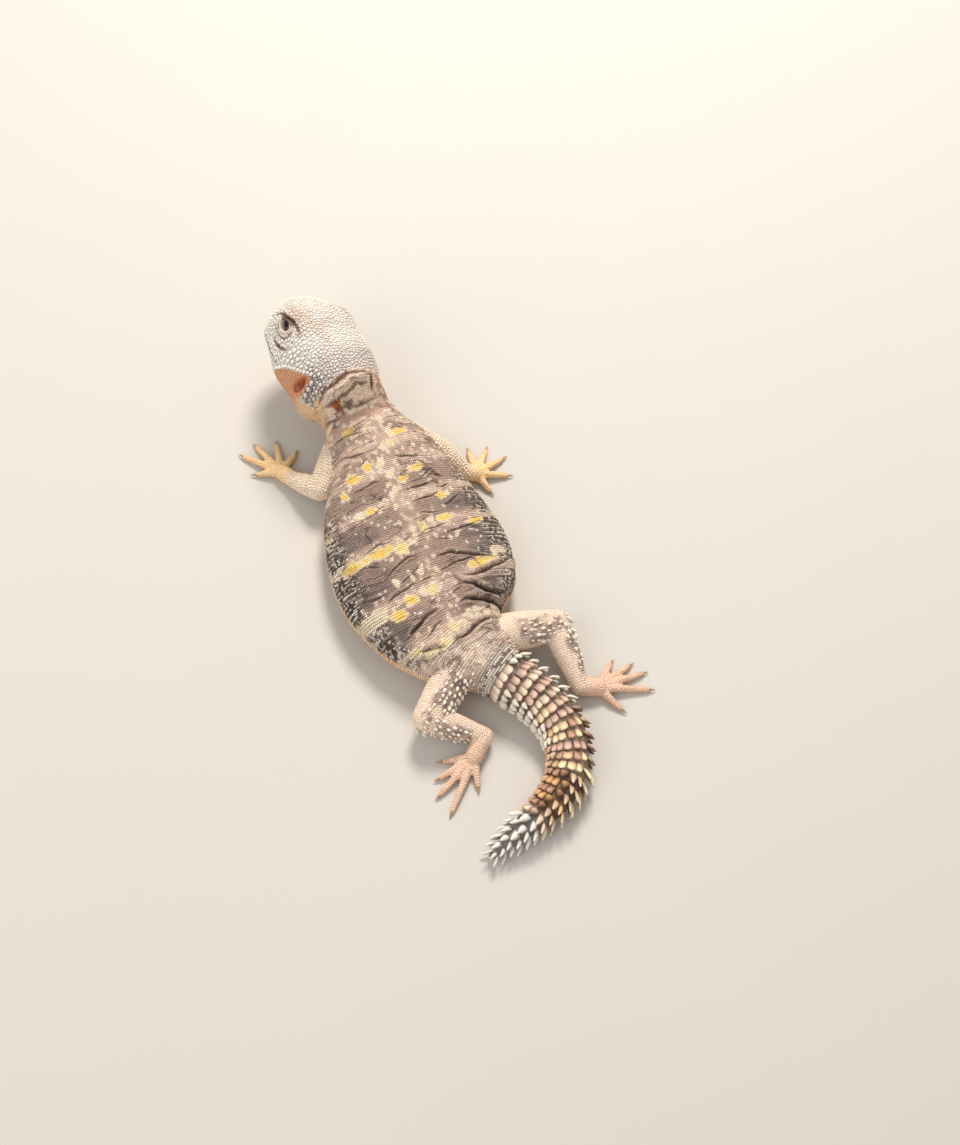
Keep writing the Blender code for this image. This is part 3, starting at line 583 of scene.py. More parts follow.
# Creases of the skin, seen from above: width and depth, then the line. They lie where the breathing trunk,
# the turned neck and the bent hips fold the skin, and the skin along them is darkened with painted shade.
CREASES = [
    (0.55, 0.7, ((6.7, 34.9), (9.1, 33.8), (12.1, 33.0), (15.2, 32.3))),
    (0.45, 0.6, ((4.7, 20.7), (8.1, 20.7), (11.3, 20.5), (15.0, 20.1))),
    (0.4, 0.5, ((11.2, 23.3), (14.3, 24.7), (17.8, 26.8))),
    (0.6, 0.7, ((16.7, 23.6), (18.7, 22.1))),
    (0.4, 0.5, ((15.0, 18.1), (17.3, 17.9), (20.0, 18.4))),
    (0.4, 0.6, ((4.7, 15.8), (9.9, 15.6), (15.4, 16.1))),
    (0.3, 0.4, ((4.5, 11.3), (7.9, 9.6), (11.6, 8.4))),
    (0.4, 0.5, ((13.8, 10.9), (17.0, 11.4), (21.4, 13.3))),
    (0.35, 0.5, ((1.8, 3.0), (5.1, 4.0), (9.1, 3.4), (13.2, 4.0))),
    (0.4, 0.6, ((8.8, 0.0), (15.1, 0.1), (25.1, 1.3))),
    (0.3, 0.4, ((6.0, -1.0), (10.7, -2.9))),
    (0.35, 0.5, ((-11.9, 27.6), (-9.0, 27.7), (-4.6, 28.0), (-2.3, 27.9))),
    (0.35, 0.5, ((-19.7, 3.8), (-14.9, 5.2), (-8.1, 4.7))),
    (0.5, 0.7, ((-10.3, 50.4), (-5.1, 49.6), (0.0, 48.1))),
    (0.4, 0.5, ((-9.6, 44.0), (-6.7, 41.9), (-1.7, 40.3))),
    (0.5, 0.9, ((1.9, -7.4), (5.7, -7.2), (7.6, -7.2), (13.7, -10.3), (16.9, -11.6), (21.7, -13.6))),
    (0.4, 0.6, ((0.5, -12.6), (5.3, -11.8), (9.6, -11.7), (13.6, -11.4), (19.0, -12.2))),
    (0.3, 0.4, ((-7.4, -13.1), (-3.9, -13.4), (-0.4, -14.0))),
    (0.7, 1.3, ((8.0, -16.8), (12.8, -17.8), (16.9, -17.2), (21.7, -16.5), (25.5, -15.5))),
    (0.8, 1.6, ((6.4, -20.0), (9.2, -20.0), (11.4, -23.3), (15.1, -26.4), (19.4, -26.9))),
    (0.8, 1.6, ((2.8, -25.4), (6.4, -25.6), (10.9, -28.0), (14.8, -30.2), (15.4, -33.7))),
    (0.55, 1.1, ((-8.2, -39.1), (-4.7, -37.5), (0.3, -36.6), (5.0, -34.8), (10.1, -34.2), (13.2, -34.1))),
    (0.35, 0.5, ((-18.4, -8.2), (-14.3, -6.3), (-10.7, -4.6), (-6.4, -3.3), (-2.8, -4.5))),
    (0.4, 0.6, ((-19.6, -15.6), (-16.2, -14.2), (-11.4, -13.7), (-8.3, -13.1))),
    (0.4, 0.5, ((-26.9, -10.7), (-22.6, -12.3), (-18.8, -12.1))),
    (0.55, 0.9, ((-19.5, -29.8), (-15.5, -28.0), (-10.4, -25.9), (-4.7, -24.6))),
    (0.3, 0.4, ((-13.2, -11.7), (-7.7, -9.8))),
    (0.3, 0.4, ((1.5, -21.3), (3.7, -20.7), (6.2, -21.2))),
    (0.4, 0.5, ((-13.4, -33.0), (-9.4, -30.4), (-5.1, -29.0))),
    (0.35, 0.5, ((-23.2, 0.2), (-19.8, -0.4), (-15.5, -3.0))),
    (0.6, 0.9, ((-17.3, -35.1), (-15.3, -36.1), (-10.9, -37.2), (-9.3, -38.5))),
    (0.6, 1.3, ((-10.3, 60.1), (-7.9, 61.2), (-4.1, 61.3), (1.8, 62.2), (8.4, 62.7))),
    (0.45, 1.0, ((-9.6, 58.4), (-5.3, 58.6), (-0.9, 59.0), (3.8, 60.2), (6.7, 60.0))),
    (0.4, 0.9, ((-6.3, 56.6), (-1.9, 57.0), (1.5, 56.9), (6.8, 57.3), (11.0, 58.0))),
    (0.35, 0.6, ((-2.4, 57.8), (2.0, 58.0))),
    (0.4, 0.5, ((1.5, 60.5), (8.8, 60.7))),
    (0.45, 0.7, ((-9.8, 56.5), (-5.5, 55.7), (-4.2, 55.5))),
    (0.5, 0.6, ((10.8, 62.4), (9.3, 59.0))),
]
CREASE_FLOOR = 5.0
CREASE_SWAY = 0.35
# Each crease has a low ridge on both sides: how far off, in widths of the crease, and how high.
RIDGE_AWAY = 2.3
RIDGE_HIGH = 0.4
FINE_CREASE_SIZE = np.array((10.0, 1.7, 30.0))
FINE_CREASE_DEEP = 0.36
# Folds round the eye, ahead and up on the side of the head: width, depth, strength of painted shade, line.
FOLDS_FROM = 8
EYE_FOLDS = [
    (0.65, 0.6, 1.0, (
        (29.5, 5.9), (27.2, 8.4), (23.8, 10.5), (20.8, 12.0), (17.9, 12.6), (15.2, 12.2), (12.0, 10.8),
    )),
    (0.35, 0.35, 0.6, ((29.0, 5.4), (24.2, 3.9), (20.0, 4.5), (16.2, 6.6), (15.2, 9.8))),
    (0.6, 0.45, 0.85, ((24.4, 1.9), (21.0, 1.0), (17.5, 2.0), (14.9, 3.3), (12.7, 4.6))),
]


def distance_to_line(points, line):
    """How far points lie from a line of several stretches, and how far along it that is, from 0 to 1."""
    best = np.full(len(points), 1e9)
    where = np.zeros(len(points))
    for index, (start, end) in enumerate(zip(line[:-1], line[1:])):
        run = end - start
        share = np.clip(((points - start) @ run) / (run @ run), 0, 1)
        away = np.linalg.norm(points - start - share[:, None] * run, axis=1)
        closer = away < best
        best = np.where(closer, away, best)
        where = np.where(closer, (index + share) / (len(line) - 1), where)
    return best, where


def lid_place(y, z):
    """Where places on the head's side lie, along and across the eye's opening, in its half sizes."""
    y, z = y - EYE_CENTRE[1] - LID_OPENING_SHIFT[1], z - EYE_CENTRE[2] - LID_OPENING_SHIFT[2]
    along, across = y * cos(LID_LEAN) + z * sin(LID_LEAN), z * cos(LID_LEAN) - y * sin(LID_LEAN)
    return along / LID_OPENING[1], across / LID_OPENING[2]


def crease(points, line, width):
    """How many of its widths points lie from a crease that tapers at both ends, and its strength there."""
    away, share = distance_to_line(points, smooth_rows(line, 3))
    strength = np.sin(pi * np.clip(share, 0.02, 0.98)) ** 0.55
    return away / (width * (0.35 + 0.65 * strength)), strength


def body_creases(points):
    """How deep the skin of trunk and neck sinks, in mm, and how much painted shade it gets there, from 0 to
    1.
    """
    deep = np.zeros(len(points))
    dark = np.zeros(len(points))
    upper = points[:, 2] > CREASE_FLOOR
    sway = np.stack([noise(points, 2.2, 7), noise(points, 2.2, 8)], axis=1) * CREASE_SWAY
    for width, depth, line in CREASES:
        line = np.array(line)
        low, high = line.min(axis=0) - 4 * width - 1, line.max(axis=0) + 4 * width + 1
        near = upper & (points[:, :2] > low).all(axis=1) & (points[:, :2] < high).all(axis=1)
        if not near.any():
            continue
        away, strength = crease(points[near, :2] + sway[near], line, width)
        ridge = RIDGE_HIGH * np.exp(-((away - RIDGE_AWAY) ** 2))
        deep[near] += depth * strength * (np.exp(-(away**2)) - ridge)
        dark[near] = np.maximum(dark[near], np.exp(-((away * 1.15) ** 2)) * strength * min(1, 0.35 + width))
    fine = 1 - np.abs(noise(points + noise(points, 6.0, 9)[:, None] * (0, 1.5, 0), FINE_CREASE_SIZE, 5)) * 8
    fine = np.clip(fine, 0, 1) * np.clip(noise(points, 7.0, 6) + 0.6, 0, 1) * upper
    deep += FINE_CREASE_DEEP * fine
    return deep, np.maximum(dark, 0.6 * fine)


def head_creases(points):
    """How deep the skin of the head sinks in the folds round the eyes, and how much painted shade it gets
    there.
    """
    place = to_head(points)
    deep = np.zeros(len(points))
    dark = np.zeros(len(points))
    side = np.abs(place[:, 0]) > FOLDS_FROM
    for width, depth, shade_strength, line in EYE_FOLDS:
        away, strength = crease(place[:, 1:], np.array(line), width)
        deep += depth * strength * np.exp(-(away**2)) * side
        dark = np.maximum(dark, shade_strength * strength * np.exp(-(away**2)) * side)
    return deep, dark


def crease_depths(points, form):
    """How deep the creases are at points of any form."""
    deep = np.zeros(len(points))
    for names, measure in ((("trunk", "neck"), body_creases), (("head",), head_creases)):
        mine = np.isin(form, [FORM_NAMES.index(name) for name in names])
        deep[mine] = measure(points[mine])[0]
    return deep


# How deep the skin lies under the solids' surface, where its scales reach that surface.
SKIN_DEEP = {"trunk": 0.42, "neck": 0.4, "tail": 0.0, "head": 0.34, "hand": 0.25, "foot": 0.25, "toe": 0.2}
LIMB_DEEP = 0.34
LID_REACH = 5.2
LID_DEEP = 0.08
LOOSE_FROM = 6
SKIN_FLOOR = 0.02

points = read_vectors(skin.data.vertices)
normals = read_vectors(skin.data.vertex_normals, "vector")
form_of, along_of, round_of = lay_out(points)
deep = np.full(len(points), LIMB_DEEP)
for number, name in enumerate(FORM_NAMES):
    deep[form_of == number] = SKIN_DEEP.get(name.split("_")[0], LIMB_DEEP)
from_eyes = [np.linalg.norm(to_head(points) - place, axis=1) for place in both_sides(EYE_CENTRE)]
near_eye = np.min(from_eyes, axis=0)
deep = np.where(near_eye < LID_REACH, LID_DEEP, deep)
# Underneath, the scales are flat and the skin lies less deep.
deep *= np.clip(normals[:, 2] * 1.5 + 1.4, 0.1, 1)
folds = crease_depths(points, form_of)
# The loose skin of trunk and neck is uneven, in soft lumps.
loose = np.isin(form_of, [FORM_NAMES.index("trunk"), FORM_NAMES.index("neck")]) & (points[:, 2] > LOOSE_FROM)
swell = 0.3 * noise(points, (9.0, 4.0, 6.0), 3) + 0.14 * noise(points, 2.6, 4)
points = points - normals * (deep + folds - np.where(loose, swell, 0))[:, None]
points[:, 2] = np.maximum(points[:, 2], SKIN_FLOOR)
skin.data.vertices.foreach_set("co", points.ravel())
skin.data.update()

# The markings: the basking animal's colours, painted by the place on the body. Taupe bands on the back carry
# rows of yellow and cream spots, the flanks are ruled black and white, and the head, legs and tail are pale.
# Below, a mask built with step() says where a colour lies, in mm or in shares of the way round.
TAUPE = (0.65, 0.545, 0.485)
TAUPE_LIGHT = (0.80, 0.69, 0.62)
SLATE = (0.41, 0.36, 0.345)
HIP_PALE = (0.91, 0.82, 0.745)
YELLOW = (0.96, 0.82, 0.45)
CREAM = (0.96, 0.89, 0.77)
PINK_CREAM = (0.91, 0.80, 0.72)
# BLACK is a warm dark brown: the black granules of flanks and tail root carry painted warm reflected light.
BLACK = (0.27, 0.20, 0.16)
# The brown of the painted shade in the creases of trunk and neck.
CREASE_SHADE_BROWN = (0.22, 0.14, 0.10)
WHITE = (0.95, 0.91, 0.85)
PEACH = (0.88, 0.69, 0.52)
BELLY = (0.93, 0.80, 0.65)
NECK_BROWN = (0.78, 0.645, 0.565)
NECK_RIDGE = (0.97, 0.88, 0.79)
NECK_SPOT = (0.72, 0.42, 0.20)
NECK_SPOT_PLACE = (-4.5, 57.9)
HEAD_PALE = (0.95, 0.92, 0.875)
HEAD_GREY = (0.76, 0.70, 0.68)
BROW_PINK = (0.86, 0.735, 0.66)
LID_CREAM = (0.97, 0.91, 0.84)
JAW_PEACH = (0.83, 0.62, 0.46)
POUCH_PALE = (0.91, 0.79, 0.65)
EAR_PEACH = (0.86, 0.58, 0.41)
EAR_RED = (0.70, 0.36, 0.22)
# The brown of the painted shade in the folds round the eyes, under the brow, in the mouth's line, the
# nostrils and the ear's bottom; also the lids' brown rim.
FOLD_BROWN = (0.31, 0.20, 0.15)
LEG_CREAM = (0.99, 0.905, 0.80)
LEG_PINK = (0.95, 0.85, 0.77)
LEG_DARK = (0.40, 0.30, 0.28)
FOOT_YELLOW = (0.99, 0.83, 0.59)
FOOT_PEACH = (0.93, 0.77, 0.66)
TAIL_BASE = (0.74, 0.67, 0.62)
# Tints of the tail: pale tan, mauve, cream, brown, amber and silver, then which of them each whorl has.
TAIL_TINTS = np.array((
    (0.94, 0.83, 0.73), (0.81, 0.67, 0.59), (0.96, 0.84, 0.68),
    (0.70, 0.52, 0.41), (0.90, 0.69, 0.44), (0.91, 0.88, 0.84),
))
MAUVE, BROWN, SILVER = 1, 3, 5
WHORL_TINTS = np.array((0, 1, 0, 1, 0, 2, 1, 2, 2, 1, 2, 2, 3, 4, 3, 4, 3, 0, 5, 5, 5, 5, 5, 5))
AMBER_WHORL = 7
SILVER_WHORL = 18
# Spots of the back and neck: x, y, width across, length along, then 1 for yellow, 0 for cream.
SPOTS = [
    (-3.2, 51.0, 3.8, 3.1, 1), (-9.8, 54.0, 3.0, 4.2, 1), (12.5, 44.0, 4.7, 2.6, 1),
    (-3.1, 34.9, 3.4, 3.6, 1), (12.3, 27.9, 5.5, 3.1, 1), (5.8, 25.5, 3.0, 3.1, 1),
    (-9.8, 32.7, 3.8, 4.2, 1), (-14.9, 28.6, 1.9, 5.2, 1), (15.0, 14.8, 3.0, 3.6, 1),
    (-9.6, 18.4, 3.8, 3.1, 1), (12.3, 6.0, 4.7, 3.1, 1), (21.6, 1.4, 5.1, 2.6, 1),
    (3.6, 5.7, 2.5, 4.2, 0.5), (-14.4, 2.2, 7.6, 4.0, 1), (-23.6, 2.2, 7.2, 4.2, 1),
    (16.1, -14.0, 8.5, 3.6, 1), (-12.6, -18.1, 4.2, 4.2, 1), (-18.1, -21.1, 3.8, 5.0, 1),
    (24.5, -11.2, 5.1, 3.1, 0), (4.8, 39.9, 1.7, 2.6, 0), (7.6, 40.4, 2.1, 3.1, 0.4),
    (1.3, 34.6, 2.1, 2.6, 0), (2.3, 28.7, 2.5, 2.6, 0), (-13.6, 18.3, 3.4, 2.6, 0),
    (-7.3, 17.4, 1.7, 2.6, 0), (-3.9, 19.5, 2.1, 2.1, 0), (7.2, 7.2, 2.5, 2.6, 0), (1.3, 22.5, 1.7, 2.6, 0),
    (-0.7, 21.3, 1.7, 2.1, 0), (17.6, 15.1, 1.7, 2.1, 0), (-0.3, 5.9, 1.3, 3.1, 0),
    (-0.4, 3.2, 1.7, 2.6, 0), (9.0, 56.1, 2.1, 2.6, 0), (7.4, 56.4, 1.7, 2.1, 0), (3.4, 54.4, 2.5, 2.6, 0),
    (8.8, 50.4, 1.7, 2.6, 0), (2.6, 49.6, 2.5, 2.1, 0), (9.2, 44.7, 2.1, 3.1, 0),
    (-6.5, 0.8, 3.8, 4.2, 0.5), (-2.3, 1.7, 2.5, 2.6, 0), (-3.9, -17.8, 3.8, 3.1, 0.4),
    (-25.9, -18.4, 8.5, 4.2, 0), (2.9, -30.5, 2.5, 2.6, 0), (6.1, -30.7, 2.5, 2.6, 0),
    (9.0, -31.6, 2.5, 2.6, 0), (12.7, -31.1, 2.5, 3.1, 0), (-3.7, -33.2, 3.0, 3.1, 0.3),
    (-0.3, -33.2, 2.1, 2.6, 0), (-8.5, -37.0, 4.2, 3.1, 0.4), (-13.8, -37.6, 4.7, 2.6, 0.2),
    (-18.2, -34.8, 3.4, 2.6, 0.4), (-5.0, -10.0, 1.7, 2.6, 0), (-8.3, -11.1, 1.3, 2.6, 0),
    (-13.9, -10.2, 1.7, 3.1, 0), (-7.5, -17.1, 2.5, 2.6, 0),
]
SPOT_ROWS = (51, 42, 32, 18, 4, -17, -34)
MIDLINE = np.array([(row[1], row[0]) for row in TRUNK[::-1]])


def dots(points, spacing, seed):
    """How far points lie from the nearest of some scattered dots, in mm from above, and that dot's draw."""
    cell = points[:, :2] / spacing
    base = np.floor(cell).astype(np.int64)
    best = np.full(len(points), 9.0)
    drawn = np.zeros(len(points))
    for step_by in product((-1, 0, 1), repeat=2):
        index = base + np.array(step_by)
        mixed = index[:, 0] * SCATTER[0] ^ index[:, 1] * SCATTER[1] ^ seed * SCATTER[2]
        mixed = (mixed ^ (mixed >> 13)) * SCATTER_MORE
        mixed = mixed ^ (mixed >> 15)
        place = np.stack([mixed & 0xFF, (mixed >> 8) & 0xFF], axis=1) / 255 * 0.7 + 0.15
        away = np.linalg.norm(cell - index - place, axis=1)
        closer = away < best
        best = np.where(closer, away, best)
        drawn = np.where(closer, ((mixed >> 16) & 0xFF) / 255, drawn)
    return best * np.min(spacing), drawn


def linear(colour):
    """A colour as it is seen, made linear for the shader."""
    colour = np.clip(np.asarray(colour, float), 0, 1)
    return np.where(colour <= 0.04045, colour / 12.92, ((colour + 0.055) / 1.055) ** 2.4)


def all_over(points, colour):
    """The same colour at every point."""
    return np.tile(np.array(colour), (len(points), 1))


def lay(colours, mask, colour):
    """Paints a colour over others by a mask from 0 to 1."""
    mask = np.clip(mask, 0, 1)[:, None]
    return colours * (1 - mask) + np.asarray(colour) * mask


def step(value, low, high):
    """Rises smoothly from 0 to 1 as the value goes from low to high."""
    share = np.clip((value - low) / (high - low), 0, 1)
    return share * share * (3 - 2 * share)


def ruled(points, along, pitch, limit=-0.2):
    """White granules in rows across the body, with black between them."""
    sway = 0.9 * noise(points, 5.0, 13)
    row = np.sin(2 * pi * (along + sway) / pitch)
    white = step(0.75 * row + 2.0 * noise(points, 0.62, 14), limit, limit + 0.7)
    return lay(all_over(points, BLACK), white, WHITE)


def flank_share(points, around):
    """How far a point of the trunk belongs to the flank, where the granules are black and white."""
    wander = noise(points, (3.0, 5.0, 5.0), 15)
    share = 0.85 * step(np.abs(around) + 0.06 * wander, 0.19, 0.34)
    return share * step(points[:, 1] + 41, 0, 8) * (1 - 0.75 * step(points[:, 1], 16, 26))


def back_bands(points, around, near_row, near_spine, wander):
    """The back's ground: taupe, paler by the spine, spots and hips, and slate between the rows of spots."""
    y = points[:, 1]
    colours = all_over(points, TAUPE)
    lightness = 0.75 * step(5.5 - near_row, 0, 5) + 0.45 * step(6 - near_spine, 0, 5) + 0.35 * wander
    colours = lay(colours, lightness + step(y, 34, 44) * 0.3 + step(-y, 27, 34) * 0.8, TAUPE_LIGHT)
    colours = lay(colours, 0.9 * step(-y, 34, 41) * (0.85 + 0.6 * wander), HIP_PALE)
    gloom = step(np.abs(around) + 0.05 * wander, 0.07, 0.22) * step(near_row, 2.2, 4.5)
    gloom = gloom * step(22 - y, 0, 14) * step(y, -42, -35)
    return lay(colours, 0.8 * gloom * (0.8 + 0.5 * wander), SLATE)


def back_specks(colours, points, near_row, near_spine, wander, crumble):
    """Pale specks, dense by the spine, spots, shoulders and hips, with a haze and white granules."""
    y = points[:, 1]
    crowd = np.max([
        step(y, 28, 36), step(-y, 27, 33), 0.75 * step(3.4 - near_row, 0, 2.4),
        0.95 * step(6.0 - near_spine + 2 * wander, 0, 3), np.full(len(y), 0.1),
    ], axis=0)
    away, drawn = dots(points, np.array((2.4, 2.9)), 3)
    fleck = step(0.92 - away + 0.3 * crumble, 0, 0.3) * (drawn < crowd * 0.85)
    colours = lay(colours, fleck * 0.8, np.where(drawn[:, None] > 0.35, PINK_CREAM, CREAM))
    haze = step(2.4 - near_row + 1.2 * crumble, 0, 2.0) * step(near_spine, 3, 7)
    colours = lay(colours, 0.45 * haze, PINK_CREAM)
    away, drawn = dots(points, np.array((1.5, 1.5)), 9)
    return lay(colours, 0.8 * step(0.62 - away, 0, 0.15) * (drawn < 0.09), WHITE)


def back_flanks(colours, points, along, around, near_row, wander, crumble):
    """Flanks ruled black and white, cream where a row of spots reaches them, with faint rules at the hips."""
    rows = ruled(points, along, 1.6)
    pale_row = step(1.6 - near_row + 0.8 * crumble, 0, 0.9)
    flank = flank_share(points, around) * (0.85 + 0.3 * wander)
    colours = lay(colours, flank, lay(rows, pale_row * 0.8, CREAM))
    hip = step(-points[:, 1], 37, 43)
    return lay(colours, 0.2 * hip * step(noise(points, 2.2, 18), -0.5, 0.3), rows)


def back_spots(colours, points, crumble):
    """The large spots, cream at their edge and yellow within, and how far each point lies in one."""
    x, y = points[:, 0], points[:, 1]
    spotted = np.zeros(len(points))
    for spot_x, spot_y, width, length, yellow in SPOTS:
        width, length = (1.2 * width, 0.85 * length) if yellow == 1 else (width, length)
        near = (np.abs(x - spot_x) < 1.2 * width) & (np.abs(y - spot_y) < 1.2 * length)
        if not near.any():
            continue
        reach = np.hypot((x[near] - spot_x) / width * 2, (y[near] - spot_y) / length * 2)
        reach = reach - 0.75 * crumble[near] - 0.15
        colours[near] = lay(colours[near], step(1.3 - reach, 0, 0.4) * 0.9, CREAM)
        colours[near] = lay(colours[near], step(0.98 - reach, 0, 0.5) * yellow, YELLOW)
        spotted[near] = np.maximum(spotted[near], step(1.2 - reach, 0, 0.5))
    return colours, spotted


def back_colours(points, along, around):
    """Trunk: bands, specks, ruled flanks and spots above, pale belly below, and painted shade and highlight
    at creases.
    """
    x, y = points[:, 0], points[:, 1]
    wander = noise(points, 3.0, 11)
    crumble = 0.6 * noise(points, 1.7, 16) + 0.4 * noise(points, 0.9, 17)
    near_row = np.min([np.abs(y + 0.6 * wander - row) for row in SPOT_ROWS], axis=0)
    near_spine = np.abs(x - np.interp(y, MIDLINE[:, 0], MIDLINE[:, 1]))
    colours = back_bands(points, around, near_row, near_spine, wander)
    colours = back_specks(colours, points, near_row, near_spine, wander, crumble)
    colours = back_flanks(colours, points, along, around, near_row, wander, crumble)
    colours, spotted = back_spots(colours, points, crumble)
    low = np.abs(around) + 0.012 * wander
    colours = lay(colours, step(low, 0.455, 0.49), BELLY)
    colours = lay(colours, 0.8 * step(low, 0.56, 0.66), PEACH)
    folded, dark = body_creases(points)
    # Painted highlight on the ridges beside the creases, then painted shade in the creases.
    colours = lay(colours, np.clip(-2.0 * folded, 0, 0.5) * (1 - spotted), TAUPE_LIGHT)
    return lay(colours, 0.95 * dark * (1 - 0.65 * spotted), CREASE_SHADE_BROWN)


def neck_colours(points, around):
    """Neck: brown and cream folds with painted shade between them and highlight on their ridges, an orange
    spot on its left.
    """
    crumble = noise(points, 1.4, 19)
    colours = all_over(points, NECK_BROWN)
    away, drawn = dots(points, np.array((2.6, 2.0)), 5)
    colours = lay(colours, 0.9 * step(0.85 - away + 0.3 * crumble, 0, 0.3) * (drawn < 0.6), NECK_RIDGE)
    folded, dark = body_creases(points)
    uneven = step(noise(points, (6.0, 1.6, 6.0), 20) + 0.4 * crumble, 0.0, 0.6)
    # Cream flecks, with painted highlight on the ridges of the folds.
    colours = lay(colours, 1.1 * (np.clip(-4.0 * folded, 0, 0.9) + 0.6 * uneven), NECK_RIDGE)
    spot = np.hypot((points[:, 0] - NECK_SPOT_PLACE[0]) / 1.8, (points[:, 1] - NECK_SPOT_PLACE[1]) / 1.0)
    colours = lay(colours, step(1.1 - spot + 0.3 * crumble, 0, 0.4), NECK_SPOT)
    colours = lay(colours, step(np.abs(around), 0.42, 0.52), BELLY)
    colours = lay(colours, step(np.abs(around), 0.55, 0.66), PEACH)
    # Painted shade in the creases.
    return lay(colours, 0.765 * dark, CREASE_SHADE_BROWN)


# Heights on the head's side: the top of the pouch behind the jaw, and the fringe over ear and jaw, as places
# ahead and up.
POUCH_TOP = -5.6
EAR_FRINGE = np.array(((-0.6, 4.4), (4.8, 2.0), (9.1, -0.3), (11.7, -3.1), (16.1, -7.7), (40.0, -16.0)))


def fringe_height(y):
    """The height of the fringe of scales above ear and jaw, at a place ahead on the head."""
    return np.interp(y, *EAR_FRINGE.T)


def ear_reach(place):
    """How far out a point of the head's side lies from the ear's middle, with 1 at its rim."""
    y, z = place[:, 1] - EAR_CENTRE[1], place[:, 2] - EAR_CENTRE[2]
    return np.sqrt(((y + 0.18 * z) / (1.05 * EAR_SIZE[1])) ** 2 + (z / (1.05 * EAR_SIZE[2])) ** 2)


def nostril_away(x, y, z):
    """How far places on the head, with x turned to its right side, lie from the nostril."""
    return np.linalg.norm(np.column_stack([x, y, z]) - (head_side(*NOSTRIL), *NOSTRIL), axis=1)


def crown_colours(points, x, y, z, speckle):
    """Top and sides of the head: near white, lilac grey toward the nape and pinkish on the brows."""
    colours = all_over(points, HEAD_PALE)
    grey = 0.15 * step(speckle + 0.5 * noise(points, 5.0, 22), -0.1, 0.7)
    grey = grey + 0.5 * step(6 - y, 0, 9) * step(z, 4, 9)
    colours = lay(colours, grey, HEAD_GREY)
    brow = np.exp(-(((x - 10.5) / 3.2) ** 2 + ((y - 20.5) / 5.5) ** 2 + ((z - 15.8) / 2.4) ** 2))
    colours = lay(colours, 0.85 * brow * (0.8 + 0.4 * speckle), BROW_PINK)
    return lay(colours, 0.35 * step(noise(points, 6.0, 23), 0.2, 0.8) * step(z, 8, 11), BROW_PINK)


def throat_colours(colours, points, x, y, z, speckle, bare):
    """Jaw, throat and pouch: bare peach skin, paler behind the jaw, and mottled under the chin."""
    throat = step(-8.4 - z, 0, 1.2)
    colours = lay(colours, np.maximum(bare, throat), JAW_PEACH)
    pale = step(3.0 - y + speckle, 0, 4) * step(-4.0 - z + speckle, 0, 2.5)
    colours = lay(colours, 0.85 * pale, POUCH_PALE)
    wander = noise(points, 2.4, 24) + 0.4 * speckle
    chin = step(-9.5 - z + 1.5 * wander, 0, 4) * step(14 - x + 2 * wander, 0, 5)
    colours = lay(colours, 0.8 * chin, POUCH_PALE)
    return lay(colours, 0.5 * chin * step(wander, 0.15, 0.45), HEAD_GREY)


def ear_colours(colours, place, x, y, z, speckle, bare):
    """The ear: a red cup with painted shade at its bottom, in peach skin, with grey skin behind it."""
    ear = ear_reach(place)
    outer = x > 9
    colours = lay(colours, 0.75 * step(2.4 - ear + 0.2 * speckle, 0, 1.4) * outer * bare, EAR_PEACH)
    colours = lay(colours, step(1.15 - ear + 0.2 * speckle, 0, 0.6) * outer, EAR_RED)
    # Painted shade at the bottom of the ear's cup.
    colours = lay(colours, 0.6 * step(0.6 - ear, 0, 0.5) * outer, FOLD_BROWN)
    behind = step(-1.2 - y, 0, 1.0) * step(z, POUCH_TOP, POUCH_TOP + 1) * step(7 - z, 0, 2) * step(x, 8, 10)
    return lay(colours, 0.7 * behind, HEAD_GREY)


def lid_colours(colours, x, y, z):
    """The lids: cream, with a brown rim below and painted shade on the upper lid under the brow."""
    along, across = lid_place(y, z)
    lids = np.hypot(along, across)
    colours = lay(colours, step(2.1 - lids, 0, 0.2) * (x > 7), LID_CREAM)
    rim = np.exp(-(((lids - 1.55) / 0.08) ** 2)) * step(0.2 - across, 0, 0.6)
    # The upper lid under the brow gets painted shade.
    upper = step(across, 0.25, 0.7) * step(1.75 - lids, 0, 0.3)
    return lay(colours, np.maximum(0.6 * rim, 0.55 * upper) * (x > 7), FOLD_BROWN)


def head_colours(points):
    """Head: crown, throat, ears, lids, and painted shade in the mouth's line, the nostrils and the folds
    round the eyes.
    """
    place = to_head(points)
    x, y, z = np.abs(place[:, 0]), place[:, 1], place[:, 2]
    speckle = noise(points, 1.5, 21)
    jaw = step(fringe_height(y) - z, 0, 0.5) * step(y, -2.2, -1.2) * step(x, 7, 9)
    pouch = step(-1.0 - y, 0, 1.0) * step(POUCH_TOP - z, 0, 0.8)
    bare = np.maximum(jaw, pouch)
    colours = crown_colours(points, x, y, z, speckle)
    colours = throat_colours(colours, points, x, y, z, speckle, bare)
    colours = ear_colours(colours, place, x, y, z, speckle, bare)
    # Painted shade in the groove of the mouth and in the nostrils.
    lip = np.exp(-(((z - MOUTH_HEIGHT) / 0.32) ** 2)) * step(y, 9.5, 11.5)
    colours = lay(colours, 0.8 * lip, FOLD_BROWN)
    colours = lay(colours, step(1.15 - nostril_away(x, y, z), 0, 0.35), FOLD_BROWN)
    colours = lid_colours(colours, x, y, z)
    # Painted shade in the folds round the eyes.
    return lay(colours, head_creases(points)[1], FOLD_BROWN)


